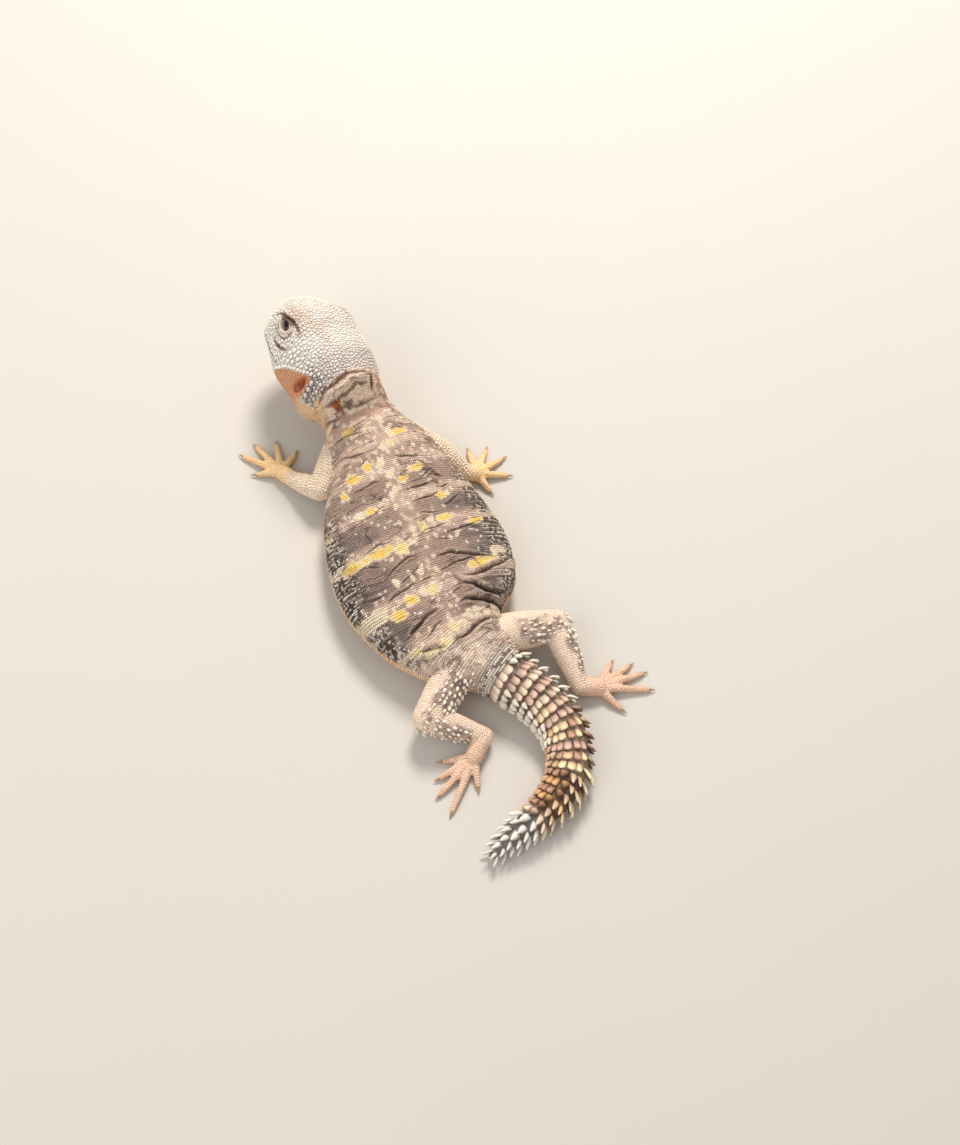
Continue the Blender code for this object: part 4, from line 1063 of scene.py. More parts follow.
def tail_colours(points, along):
    """Tail: ruled granules at its root, then whorls of tan and mauve, amber round the bend, then silver."""
    colours = all_over(points, TAIL_BASE)
    colours = lay(colours, 0.6 * step(along, 0.5, 2.0), ruled(points, along, 1.25, -0.9))
    whorl = np.clip(np.searchsorted(whorl_edges, along, side="right") - 1, 0, WHORL_COUNT - 1)
    other = np.where(whorl < AMBER_WHORL, MAUVE, np.where(whorl < SILVER_WHORL, BROWN, SILVER))
    mottled = 0.7 * step(noise(points, 2.6, 33), 0.1, 0.45)
    mixed = lay(TAIL_TINTS[WHORL_TINTS[whorl]], mottled, TAIL_TINTS[other])
    return np.where((along > whorl_edges[0])[:, None], mixed, colours)


# Patches of tubercles on the hind legs: the way each faces, how near to that, and from where to where along.
TUBERCLE_PATCHES = {
    "thigh_left": ((0.45, -0.6, 0.66), 0.62, 0.4, 1.06),
    "shin_left": ((-0.6, -0.7, 0.4), 0.6, -0.1, 0.75),
    "thigh_right": ((-0.1, -0.6, 0.8), 0.72, 0.4, 1.05),
    "shin_right": ((0.8, 0.1, 0.6), 0.7, -0.1, 0.8),
}


def tubercle_patch(points, name):
    """Whether points of a hind leg lie in its patch of tubercles, from 0 to 1 across the patch's edge."""
    if name not in TUBERCLE_PATCHES:
        return np.zeros(len(points))
    facing, limit, low, high = TUBERCLE_PATCHES[name]
    segment, side = name.split("_")
    number = SEGMENTS["hindleg"].index(segment)
    joints = np.array(LEGS["hindleg_" + side]["joints"])
    start, run = joints[number], joints[number + 1] - joints[number]
    share = ((points - start) @ run) / (run @ run)
    turned = unit(points - start - np.clip(share, 0, 1)[:, None] * run) @ unit(np.array(facing))
    turned = turned + 0.3 * noise(points, 2.8, 42)
    share = share + 0.25 * noise(points, 3.5, 43)
    within = step(share, low - 0.1, low + 0.1) * step(high - share, 0, 0.1)
    return step(turned, limit - 0.15, limit + 0.15) * within


def leg_colours(points, name):
    """Legs: cream with yellow hands in front, pinkish behind, dark between the tubercles, with peach feet."""
    fore = any(word in name for word in ("arm", "hand"))
    colours = all_over(points, LEG_CREAM if fore else LEG_PINK)
    shade = noise(points, 2.2, 41)
    colours = lay(colours, 0.2 + 0.3 * shade, PINK_CREAM if fore else LEG_CREAM)
    colours = lay(colours, tubercle_patch(points, name) * (0.42 + 0.4 * shade), LEG_DARK)
    if any(word in name for word in ("hand", "foot")):
        colours = lay(colours, 0.8 + 0.2 * shade, FOOT_YELLOW if fore else FOOT_PEACH)
    under = step(2.6 - points[:, 2], 0, 2.0)
    return lay(colours, 0.5 * under, PEACH)


def markings(points, form, along, around):
    """The animal's colours at points of its body, as linear colours."""
    colours = np.zeros((len(points), 3))
    for number in np.unique(form):
        name, mine = FORM_NAMES[number], form == number
        if name == "trunk":
            colours[mine] = back_colours(points[mine], along[mine], around[mine])
        elif name == "neck":
            colours[mine] = neck_colours(points[mine], around[mine])
        elif name == "head":
            colours[mine] = head_colours(points[mine])
        elif name == "tail":
            colours[mine] = tail_colours(points[mine], along[mine])
        else:
            colours[mine] = leg_colours(points[mine], name)
    return linear(colours)


# How bright the skin between the scales is, as a share of the scales' own brightness: painted shade in the
# gaps.
GAP_SHADES = {"trunk": 0.74, "neck": 0.8, "head": 0.56, "tail": 0.28, "upper_arm": 0.6, "forearm": 0.6}
GAP_SHADE = 0.8
GAP_BARE_HEAD = 0.85
GAP_TAIL_ROOT = 0.6
GAP_LIDS = 0.9
GAP_UNDER = 3


def gap_shade(points, form, along, around):
    """How bright the skin shows between the scales: painted shade, deeper on the flanks and at the back of
    the head.
    """
    shade = np.full(len(points), GAP_SHADE)
    for number, name in enumerate(FORM_NAMES):
        shade[form == number] = GAP_SHADES.get(name.rsplit("_", 1)[0], GAP_SHADE)
    trunk = form == FORM_NAMES.index("trunk")
    # On the flanks the dark between the granules is partly their own black skin, partly painted shade.
    shade[trunk] -= 0.35 * flank_share(points[trunk], around[trunk])
    head = form == FORM_NAMES.index("head")
    place = to_head(points[head])
    bare = (fringe_height(place[:, 1]) > place[:, 2]) & (place[:, 1] > -1.5) | (place[:, 2] < POUCH_TOP)
    nape = step(5 - place[:, 1], 0, 5) * step(place[:, 2], -8, -6) * step(9 - place[:, 2], 0, 3)
    shade[head] = np.where(bare, GAP_BARE_HEAD, shade[head] - 0.35 * nape)
    shade[(form == FORM_NAMES.index("tail")) & (along < whorl_edges[0])] = GAP_TAIL_ROOT
    return np.where(points[:, 2] < GAP_UNDER, np.maximum(shade, GAP_SHADE), shade)


def store_colours(mesh, colours):
    """Keeps a colour at each point of a mesh, for its material to read."""
    attribute = mesh.color_attributes.new("markings", "FLOAT_COLOR", "POINT")
    opaque = np.column_stack([colours, np.ones(len(colours))])
    attribute.data.foreach_set("color", opaque.astype(np.float32).ravel())


skin_colours = markings(points, form_of, along_of, round_of)
# The skin's colours are darkened by the painted shade between the scales.
shade = np.where(near_eye < LID_REACH, GAP_LIDS, gap_shade(points, form_of, along_of, round_of))
store_colours(skin.data, skin_colours * shade[:, None])


def node(material, kind, **settings):
    """A node of a material or group, with values set on its sockets by name."""
    made = material.nodes.new(kind)
    for name, value in settings.items():
        if name in made.inputs:
            made.inputs[name].default_value = value
        else:
            setattr(made, name, value)
    return made


def join(tree, links):
    """Links nodes: each row is a node and its output, then a node and its input."""
    for source, given, target, taken in links:
        tree.links.new(source.outputs[given], target.inputs[taken])


def mottle_group():
    """Fine uneven colour, gloss and grain that the finishes share, each in its own measure."""
    group = bpy.data.node_groups.new("mottle", "ShaderNodeTree")
    given_names = ("Colour", "Fleck size", "Fleck strength", "Gloss low", "Gloss high", "Grain size")
    for way, names in (("INPUT", given_names), ("OUTPUT", ("Colour", "Roughness", "Height"))):
        for name in names:
            kind = "NodeSocketColor" if name == "Colour" else "NodeSocketFloat"
            group.interface.new_socket(name=name, in_out=way, socket_type=kind)
    given = node(group, "NodeGroupInput")
    out = node(group, "NodeGroupOutput")
    place = node(group, "ShaderNodeTexCoord")
    fleck = node(group, "ShaderNodeTexNoise", Detail=3.0, Roughness=0.6)
    grain = node(group, "ShaderNodeTexNoise", Detail=4.0, Roughness=0.65)
    centred = node(group, "ShaderNodeMath", operation="SUBTRACT")
    centred.inputs[1].default_value = 0.5
    scaled = node(group, "ShaderNodeMath", operation="MULTIPLY_ADD")
    scaled.inputs[2].default_value = 1.0
    tinted = node(group, "ShaderNodeVectorMath", operation="SCALE")
    spread = node(group, "ShaderNodeMapRange", **{"From Min": 0.3, "From Max": 0.7})
    join(group, [
        (place, "Object", fleck, "Vector"),
        (place, "Object", grain, "Vector"),
        (given, "Fleck size", fleck, "Scale"),
        (given, "Grain size", grain, "Scale"),
        (fleck, "Fac", centred, 0),
        (centred, 0, scaled, 0),
        (given, "Fleck strength", scaled, 1),
        (given, "Colour", tinted, 0),
        (scaled, 0, tinted, "Scale"),
        (tinted, "Vector", out, "Colour"),
        (grain, "Fac", spread, "Value"),
        (given, "Gloss low", spread, "To Min"),
        (given, "Gloss high", spread, "To Max"),
        (spread, "Result", out, "Roughness"),
        (grain, "Fac", out, "Height"),
    ])
    return group


mottle = mottle_group()


def animal_material(name, fleck, gloss, grain, bump, specular=0.4, marked=True, colour=(1, 1, 1)):
    """A finish that mottles the markings stored on the mesh, or one colour, with grain and uneven gloss.

    Flecks: how many to the metre and how strong. Gloss: lowest and highest roughness. Grain: how many to the
    metre. Bump: strength, and depth in metres.
    """
    material = bpy.data.materials.new(name)
    material.use_nodes = True
    tree = material.node_tree
    shader = tree.nodes["Principled BSDF"]
    shader.inputs["Specular IOR Level"].default_value = specular
    mix = node(tree, "ShaderNodeGroup", node_tree=mottle)
    mix.inputs["Colour"].default_value = (*linear(colour), 1)
    mix.inputs["Fleck size"].default_value, mix.inputs["Fleck strength"].default_value = fleck
    mix.inputs["Gloss low"].default_value, mix.inputs["Gloss high"].default_value = gloss
    mix.inputs["Grain size"].default_value = grain
    if marked:
        stored = node(tree, "ShaderNodeAttribute", attribute_name="markings")
        join(tree, [(stored, "Color", mix, "Colour")])
    relief = node(tree, "ShaderNodeBump", Strength=bump[0], Distance=bump[1])
    join(tree, [
        (mix, "Colour", shader, "Base Color"),
        (mix, "Roughness", shader, "Roughness"),
        (mix, "Height", relief, "Height"),
        (relief, "Normal", shader, "Normal"),
    ])
    return material


skin_finish = animal_material("skin", (900.0, 0.35), (0.55, 0.8), 2600.0, (0.35, 0.0002))
skin.data.materials.append(skin_finish)
skin_points = points
skin_faces = [tuple(polygon.vertices) for polygon in skin.data.polygons]
skin_tree = BVHTree.FromPolygons([tuple(point) for point in points], skin_faces)
skin_normals = read_vectors(skin.data.vertex_normals, "vector")
face_table = np.array([face[:4] if len(face) > 3 else (*face, face[-1]) for face in skin_faces])
face_normals = unit(skin_normals[face_table].sum(axis=1))
skin.data.transform(Matrix.Scale(MM, 4))
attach(skin, "root")
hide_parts("head", "neck", "trunk", "tail_base", "tail_middle", "tail_tip")
for side in ("left", "right"):
    for segment in SEGMENTS["foreleg"] + SEGMENTS["hindleg"]:
        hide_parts(f"{segment}_{side}")

# Scales of the body, head and legs: small horny granules that tile the skin. Each is a low dome, raised a
# little at its rear edge, over its own cell of the skin, which reaches half way to the scales around it.
# Its bake map is a small patch of a flat layout of the forms, each with its corner, width and height.
UNWRAP = {
    "trunk": (0.02, 0.02, 0.60, 0.56),
    "neck": (0.64, 0.02, 0.16, 0.56),
    "head": (0.02, 0.60, 0.40, 0.38),
    "tail": (0.44, 0.60, 0.54, 0.14),
}
LEG_UNWRAP = (0.44, 0.76, 0.54, 0.22)
PATCH = 0.003
# Painted light on each scale's colour: its sunk ring darker by the share named edge, painted shade where it
# meets the skin, its shoulder slightly darker and its top lighter, a painted highlight.
CREST_SHADE = 0.96
TOP_SHADE = 1.05


def dome(sides, shoulder=0.78, rise=0.6, lean=0.12, sunk=-0.4, edge=0.75):
    """A scale: a ring sunk in the skin, a ring at its shoulder and a rounded top, raised to the rear."""
    turns = 2 * pi * (np.arange(sides) + 0.5) / sides
    ring = np.stack([np.cos(turns), np.sin(turns)], axis=1)
    base = np.column_stack([ring, np.full(sides, sunk)])
    high = np.column_stack([ring * shoulder + (0, lean), rise + 0.25 * ring[:, 1]])
    points = np.vstack([base, high, [(0, lean, 1.0)]])
    faces = [tuple(range(sides))[::-1]]
    for k in range(sides):
        n = (k + 1) % sides
        faces.append((k, n, sides + n, sides + k))
        faces.append((sides + k, sides + n, 2 * sides))
    shade = np.concatenate([np.full(sides, edge), np.full(sides, CREST_SHADE), [TOP_SHADE]])
    return {"points": points, "faces": faces, "shade": shade}


def empty_coat():
    """A coat with no scales yet."""
    return {"points": [], "corners": [], "totals": [], "colours": [], "patches": [], "count": 0}


def grow(coat, shape, roots, ups, ways, sizes, colours, unwrap, tips=None, aimed=False, outline=None):
    """Adds copies of a shape to a coat, each at its root, along its way, with its width, length and height.

    A scale lies flat, so its way is turned square to the skin. A spine is aimed, and keeps its way.
    """
    if not len(roots):
        return
    ups, ways = unit(ups), unit(ways)
    if aimed:
        ups = unit(ups - ways * (ways * ups).sum(axis=1)[:, None])
    else:
        ways = unit(ways - ups * (ways * ups).sum(axis=1)[:, None])
    across = np.cross(ways, ups)
    local = shape["points"][None] * np.asarray(sizes)[:, None]
    if outline is not None:
        local[..., :2] *= np.hstack([outline, outline, np.ones((len(roots), 1))])[..., None]
    made = roots[:, None] + local[..., :1] * across[:, None] + local[..., 1:2] * ways[:, None]
    made = made + local[..., 2:] * ups[:, None]
    made[..., 2] = np.maximum(made[..., 2], 0.0)
    each = len(shape["points"])
    corners = np.concatenate([np.array(face) for face in shape["faces"]])
    totals = np.array([len(face) for face in shape["faces"]])
    start = coat["count"] + each * np.arange(len(roots))
    coat["points"].append(made.reshape(-1, 3))
    coat["corners"].append((corners[None] + start[:, None]).ravel())
    coat["totals"].append(np.tile(totals, len(roots)))
    # The shape's painted shade and highlight scale the colour at each of its points.
    painted = colours[:, None] * shape["shade"][None, :, None]
    if tips is not None:
        share = shape["tip"][None, :, None]
        painted = painted * (1 - share) + tips[:, None] * share
    coat["colours"].append(np.clip(painted, 0, 1).reshape(-1, 3))
    flat = shape["points"][:, :2]
    flat = (flat - flat.min(axis=0)) / (flat.max(axis=0) - flat.min(axis=0)) - 0.5
    patches = unwrap[:, None] + flat[None] * PATCH
    coat["patches"].append(patches[:, corners].reshape(-1, 2))
    coat["count"] += each * len(roots)


def coat_object(name, coat, material):
    """A coat as one mesh in metres, with its markings, its bake map, its finish and its place on the body."""
    mesh = bpy.data.meshes.new(name)
    points = np.concatenate(coat["points"]) * MM
    corners = np.concatenate(coat["corners"])
    totals = np.concatenate(coat["totals"])
    mesh.vertices.add(len(points))
    mesh.loops.add(len(corners))
    mesh.polygons.add(len(totals))
    mesh.vertices.foreach_set("co", points.astype(np.float32).ravel())
    mesh.loops.foreach_set("vertex_index", corners.astype(np.int32))
    starts = np.concatenate([[0], np.cumsum(totals)[:-1]])
    mesh.polygons.foreach_set("loop_start", starts.astype(np.int32))
    mesh.update(calc_edges=True)
    mesh.polygons.foreach_set("use_smooth", np.ones(len(totals), bool))
    store_colours(mesh, np.concatenate(coat["colours"]))
    layer = mesh.uv_layers.new(name="OFBake")
    layer.uv.foreach_set("vector", np.concatenate(coat["patches"]).astype(np.float32).ravel())
    mesh.materials.append(material)
    made = add_object(name, mesh)
    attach(made, "root")


def ring_at(rings, reach, distance):
    """The ring of a form at a distance along it."""
    index = int(np.clip(np.searchsorted(reach, distance) - 1, 0, len(rings) - 2))
    share = np.clip((distance - reach[index]) / (reach[index + 1] - reach[index]), 0, 1)
    return rings[index] * (1 - share) + rings[index + 1] * share


LOOK_AHEAD = 0.4
FEWEST_ROUND = 5


def rows_over(rings, row_pitch, column_pitch):
    """Staggered rows of places over a form: points, the way along it, how far along, and how far round."""
    reach = reach_of(rings)
    sides = rings.shape[1]
    order = (np.arange(sides + 1) + sides * 3 // 4) % sides
    found = []
    for row in range(int(reach[-1] / row_pitch)):
        distance = (row + 0.5) * row_pitch
        here, ahead = [ring_at(rings, reach, place)[order] for place in (distance, distance + LOOK_AHEAD)]
        run = run_of(here)
        count = max(FEWEST_ROUND, round(run[-1] / column_pitch))
        wanted = (np.arange(count) + 0.5 * (row % 2)) / count * run[-1]
        place = points_at(wanted, run, here)
        way = points_at(wanted, run, ahead) - place
        around = np.interp(wanted, run, np.linspace(-1, 1, sides + 1))
        found.append(np.column_stack([place, way, np.full(count, distance), around]))
    found = np.concatenate(found)
    return found[:, :3], unit(found[:, 3:6]), found[:, 6], found[:, 7]


def settle(places, limit):
    """Brings places down to the skin: points on it, its normals there, and which places lie near enough."""
    found = [skin_tree.find_nearest(tuple(place), limit) for place in places]
    kept = np.array([hit[0] is not None for hit in found])
    spots = np.array([tuple(hit[0]) if hit[0] is not None else (0, 0, 0) for hit in found])
    index = np.array([hit[2] if hit[2] is not None else 0 for hit in found])
    return spots, face_normals[index], kept


def unwrap_place(name, along, around):
    """Where a root lies on the flat layout of the skin, from 0 to 1 both ways."""
    low_u, low_v, wide, high = UNWRAP.get(name, LEG_UNWRAP)
    total = reach_of(forms[name])[-1]
    if name not in UNWRAP:
        others = [other for other in FORM_NAMES if other not in UNWRAP]
        high = high / len(others)
        low_v = low_v + high * others.index(name)
    return np.column_stack([low_u + wide * along / total, low_v + high * (around + 1) / 2])


def unwrap_places(form, along, around):
    """The same for places on any of the forms."""
    flat = np.zeros((len(form), 2))
    for number in np.unique(form):
        mine = form == number
        flat[mine] = unwrap_place(FORM_NAMES[number], along[mine], around[mine])
    return flat


chance = np.random.default_rng(11)
beds = []


def add_bed(piece, shape, roots, ups, ways, form, along, around, size, height, tint):
    """Keeps a bed of scales, to be grown once the places of all the scales are known."""
    count = len(roots)
    colours = markings(roots, form, along, around) * chance.uniform(1 - tint, 1 + tint, (count, 1))
    beds.append({
        "piece": piece, "shape": shape, "roots": roots, "ups": unit(ups), "ways": ways, "colours": colours,
        "size": np.full(count, 1.0) * size, "height": height * chance.uniform(0.85, 1.15, count),
        "unwrap": unwrap_places(form, along, around),
    })


def clear(places, size, share=0.78):
    """Which places keep clear of every scale already set."""
    if not beds:
        return np.ones(len(places), bool)
    tree = tree_of(np.concatenate([bed["roots"] for bed in beds]))
    sizes = np.concatenate([bed["size"] for bed in beds])
    found = [tree.find(place) for place in places]
    away = np.array([hit[2] for hit in found])
    return away > share * (sizes[[hit[1] for hit in found]] + size) / 2


def row_bed(piece, shape, name, size, wanted=None, limit=0.9, uneven=0.1, tint=0.12):
    """Sets scales in staggered rows over a form, and keeps those that the skin lies near."""
    pitch, height = size
    places, ways, along, around = rows_over(forms[name], pitch, pitch)
    places = places + chance.uniform(-uneven, uneven, places.shape) * pitch
    chosen = np.ones(len(places), bool) if wanted is None else wanted(places, along, around)
    places, ways, along, around = places[chosen], ways[chosen], along[chosen], around[chosen]
    spots, ups, kept = settle(places, limit)
    kept &= clear(spots, pitch) & outside_hollows(spots)
    form = np.full(int(kept.sum()), FORM_NAMES.index(name))
    along, around = along[kept], around[kept]
    add_bed(piece, shape, spots[kept], ups[kept], ways[kept], form, along, around, pitch, height, tint)


def form_ways(form, along):
    """The way toward the tail or the toes at places of the forms."""
    ways = np.zeros((len(form), 3))
    for number in np.unique(form):
        rings = forms[FORM_NAMES[number]]
        middles, reach = rings.mean(axis=1), reach_of(rings)
        run = np.gradient(middles, reach, axis=0) * (-1 if FORM_NAMES[number] in ("head", "neck") else 1)
        mine = form == number
        ways[mine] = points_at(along[mine], reach, run)
    return unit(ways)


SCATTER_COVER = 1.12


def scatter_bed(piece, shape, mask, spacing, height, tint=0.08):
    """Sets scales unevenly over part of the skin, none nearer to another than its spacing."""
    spacing = np.full(len(skin_points), 1.0) * spacing
    height = np.full(len(skin_points), 1.0) * height
    picked = np.flatnonzero(mask)
    picked = chance.permutation(picked[clear(skin_points[picked], spacing[picked])])
    widest = spacing[picked].max()
    cells = np.floor(skin_points[picked] / widest).astype(int).tolist()
    places = skin_points[picked].tolist()
    kept, filled = [], {}
    for index, cell, place in zip(picked.tolist(), cells, places):
        limit = spacing[index] ** 2
        around = product(*[(c - 1, c, c + 1) for c in cell])
        others = (other for near in around for other in filled.get(near, ()))
        if all(sum((a - b) ** 2 for a, b in zip(place, other)) >= limit for other in others):
            filled.setdefault(tuple(cell), []).append(place)
            kept.append(index)
    kept = np.array(kept)
    form, along, around = form_of[kept], along_of[kept], round_of[kept]
    add_bed(piece, shape, skin_points[kept], skin_normals[kept], form_ways(form, along), form, along, around,
            spacing[kept] * SCATTER_COVER, height[kept], tint)


CELL_NEIGHBOURS = 10
CELL_WIDEST = 0.68
CELL_GAP = 0.95
CELL_SIDEWAYS = 0.02
CELL_OPEN = 9.0


def cell_outlines(bed, tree, everything, sizes):
    """How far each scale reaches at each turn round it, half way to its neighbours or less."""
    roots, ups = bed["roots"], bed["ups"]
    ways = unit(bed["ways"] - ups * (bed["ways"] * ups).sum(axis=1)[:, None])
    across = np.cross(ways, ups)
    found = np.array([[hit[1] for hit in tree.find_n(root, CELL_NEIGHBOURS)] for root in roots])
    away = everything[found] - roots[:, None]
    x, y = (away * across[:, None]).sum(axis=2), (away * ways[:, None]).sum(axis=2)
    share = bed["size"][:, None] / (bed["size"][:, None] + sizes[found])
    sides = len(bed["shape"]["points"]) // 2
    turns = 2 * pi * (np.arange(sides) + 0.5) / sides
    ahead = x[..., None] * np.cos(turns) + y[..., None] * np.sin(turns)
    limit = ((x**2 + y**2) * share)[..., None] / np.maximum(ahead, CELL_SIDEWAYS)
    limit = np.where(ahead > CELL_SIDEWAYS, limit, CELL_OPEN).min(axis=1)
    return np.minimum(limit, CELL_WIDEST * bed["size"][:, None]) * CELL_GAP


back_dome = dome(6, rise=0.55, lean=0.14)
head_dome = dome(10, shoulder=0.8, rise=0.62, lean=0.1, edge=0.62)
round_dome = dome(10, shoulder=0.82, rise=0.66, lean=0.0, edge=0.6)
flat_dome = dome(6, shoulder=0.8, rise=0.7, lean=0.05, edge=0.88)
leg_dome = dome(6, shoulder=0.76, rise=0.5, lean=0.22, edge=0.76)
# Pitch and height of the scales.
BACK_SCALE = (0.8, 0.22)
BELLY_SCALE = (1.35, 0.16)
NECK_SCALE = (0.9, 0.28)
LEG_SCALE = np.array((1.05, 0.32))
TOE_SCALE = (0.95, 0.22)
TAIL_SCALE = (0.85, 0.26)
UNDER_TAIL_SCALE = (1.3, 0.2)
SCALE_BETWEEN = (0.72, 0.22)
HINDLEG_FINE = 0.8
BELLY_TOP = 2.2
BACK_SPLIT = 4
# The lids' scales stand in rings round the eye's opening, the first at its edge: half sizes of the first and
# how much they grow to the last, how far the last ring sinks, width of a scale, heights in turn.
LID_ROWS = 4
LID_RING = np.array((3.55, 2.25))
LID_RING_GROWTH = np.array((1.9, 1.6))
LID_RING_DROP = 0.4
LID_SCALE = 0.62
LID_HEIGHTS = (0.36, 0.26)
SIDE_TINT = 0.05
# The fringe over ear and jaw: its reach ahead, step, rise over the bare skin, then width and height. The
# tubercles behind the ear are the largest: a front and a rear row, each with width, height and places.
FRINGE_REACH = (-0.8, 16.5)
FRINGE_STEP = 1.25
FRINGE_RISE = 0.8
FRINGE_SCALE = (1.6, 0.85)
EAR_TUBERCLES = (
    ((2.7, 1.7), ((-2.8, 3.0), (-3.1, 0.4), (-3.3, -2.2), (-3.4, -4.6))),
    ((2.1, 1.3), ((-5.6, 4.4), (-5.9, 1.6), (-6.1, -1.2), (-5.9, -3.8))),
)
# How near to a hollow's middle scales may come: half sizes of eye and ear, mm from nostril and mouth.
HOLLOW_EYE = 1.04
HOLLOW_EAR = 0.98
HOLLOW_NOSTRIL = 1.1
HOLLOW_MOUTH = 0.5
HOLLOWS_FROM = 8.5
MOUTH_CORNER = 10


def side_place(y, z, side):
    """A point on the side of the head, with the skin's normal there."""
    start = from_head(np.array((side * 24.0, y, z)))
    hit = skin_tree.ray_cast(tuple(start), tuple(from_head((-side, 0, 0)) - HEAD_ORIGIN))
    return np.array(hit[0]), face_normals[hit[2]]


def outside_hollows(places):
    """Which places aren't in an eye's opening, an ear, a nostril or the mouth."""
    place = to_head(places)
    x, y, z = np.abs(place[:, 0]), place[:, 1], place[:, 2]
    eye_and_ear = (np.hypot(*lid_place(y, z)) > HOLLOW_EYE) & (ear_reach(place) > HOLLOW_EAR)
    nostril = nostril_away(x, y, z) > HOLLOW_NOSTRIL
    mouth = (np.abs(z - MOUTH_HEIGHT) > HOLLOW_MOUTH) | (y < MOUTH_CORNER)
    return (eye_and_ear | (x < HOLLOWS_FROM)) & nostril & mouth


def side_bed(spots, size, way):
    """Sets round scales at given places on both sides of the head."""
    width, height = size
    for side in (-1, 1):
        found = [side_place(y, z, side) for y, z in spots]
        roots, ups = np.array([spot for spot, _ in found]), np.array([up for _, up in found])
        ways = np.tile(from_head(way) - HEAD_ORIGIN, (len(roots), 1))
        form = np.full(len(roots), FORM_NAMES.index("head"))
        places = np.array([skin_lookup.find(root)[1] for root in roots])
        along, around = along_of[places], round_of[places]
        add_bed("scales_head", round_dome, roots, ups, ways, form, along, around, width, height, SIDE_TINT)


skin_lookup = tree_of(skin_points)
scale_finish = animal_material("scales", (1500.0, 0.3), (0.42, 0.62), 5200.0, (0.2, 0.0001), specular=0.45)
for row in range(LID_ROWS):
    t = row / (LID_ROWS - 1)
    wide, high = LID_RING + LID_RING_GROWTH * t
    count = int(pi * (wide + high) / LID_SCALE)
    turns = 2 * pi * (np.arange(count) + 0.5 * (row % 2)) / count
    along, across = wide * np.cos(turns), high * np.sin(turns) - LID_RING_DROP * t
    spots = np.column_stack([
        EYE_CENTRE[1] + LID_OPENING_SHIFT[1] + along * cos(LID_LEAN) - across * sin(LID_LEAN),
        EYE_CENTRE[2] + LID_OPENING_SHIFT[2] + along * sin(LID_LEAN) + across * cos(LID_LEAN),
    ])
    side_bed(spots, (LID_SCALE, LID_HEIGHTS[row % 2]), (0, -1, 0))
fringe_y = np.arange(*FRINGE_REACH, FRINGE_STEP)
side_bed(np.column_stack([fringe_y, fringe_height(fringe_y) + FRINGE_RISE]), FRINGE_SCALE, (0, -0.3, -1))
for size, spots in EAR_TUBERCLES:
    side_bed(spots, size, (0, -1, 0))

# The head's scales are larger on cheek and temple, small and flat on the bare skin of jaw and throat.
place = to_head(skin_points)
x, y, z = np.abs(place[:, 0]), place[:, 1], place[:, 2]
on_head = (form_of == FORM_NAMES.index("head")) & outside_hollows(skin_points)
cheek = step(x, 8, 11) * step(10 - z, 0, 4) * step(14 - y, 0, 4)
low = ((fringe_height(y) > z) & (y > -1.2) & (x > 8)) | (z < -8.2) | ((z < POUCH_TOP) & (y < -1.0))
spacing = np.where(low, 0.82, 1.25 - 0.25 * step(y, 22, 30) + 0.32 * cheek - 0.12 * step(-y, 1, 3))
height = np.where(low, 0.14, 0.4 + 0.3 * cheek)
scatter_bed("scales_head", head_dome, on_head & ~low, spacing, height)
scatter_bed("scales_head", flat_dome, on_head & low, spacing, height)

# Neck, trunk, legs and tail carry theirs in rows, and small ones fill the gaps between the forms.
row_bed("scales_neck", back_dome, "neck", NECK_SCALE, lambda p, a, r: a > 1.2, limit=1.2)
row_bed("scales_back", back_dome, "trunk", BACK_SCALE, lambda p, a, r: p[:, 2] > BELLY_TOP)
row_bed("scales_belly", flat_dome, "trunk", BELLY_SCALE, lambda p, a, r: p[:, 2] <= BELLY_TOP)
for name in FORM_NAMES:
    if name.startswith("toe"):
        row_bed("scales_toes", leg_dome, name, TOE_SCALE)
    elif any(word in name for word in SEGMENTS["hindleg"]):
        row_bed("scales_hindlegs", leg_dome, name, LEG_SCALE * HINDLEG_FINE, uneven=0.24)
    elif name not in UNWRAP:
        row_bed("scales_forelegs", leg_dome, name, LEG_SCALE, uneven=0.24)
row_bed("scales_tail", back_dome, "tail", TAIL_SCALE, lambda p, a, r: a < TAIL_ROOT + 0.3, limit=1.2)
row_bed(
    "scales_tail", flat_dome, "tail", UNDER_TAIL_SCALE,
    lambda p, a, r: (np.abs(r) > 0.6) & (a > TAIL_ROOT), limit=1.6,
)
fill = outside_hollows(skin_points) & (form_of != FORM_NAMES.index("tail"))
fill &= (near_eye > 4.9) & (skin_points[:, 2] > 0.3)
scatter_bed("scales_between", back_dome, fill, *SCALE_BETWEEN)

everything = np.concatenate([bed["roots"] for bed in beds])
all_sizes = np.concatenate([bed["size"] for bed in beds])
everything_tree = tree_of(everything)
coats = {}
for bed in beds:
    outline = cell_outlines(bed, everything_tree, everything, all_sizes)
    sizes = np.column_stack([np.ones((len(outline), 2)), bed["height"]])
    front = bed["roots"][:, 1] > BACK_SPLIT
    parts = {"": np.ones(len(outline), bool)}
    if bed["piece"] == "scales_back":
        parts = {"_front": front, "_rear": ~front}
    for ending, mask in parts.items():
        coat = coats.setdefault(bed["piece"] + ending, empty_coat())
        grow(coat, bed["shape"], bed["roots"][mask], bed["ups"][mask], bed["ways"][mask], sizes[mask],
             bed["colours"][mask], bed["unwrap"][mask], outline=outline[mask])
for name, coat in coats.items():
    coat_object(name, coat, scale_finish)

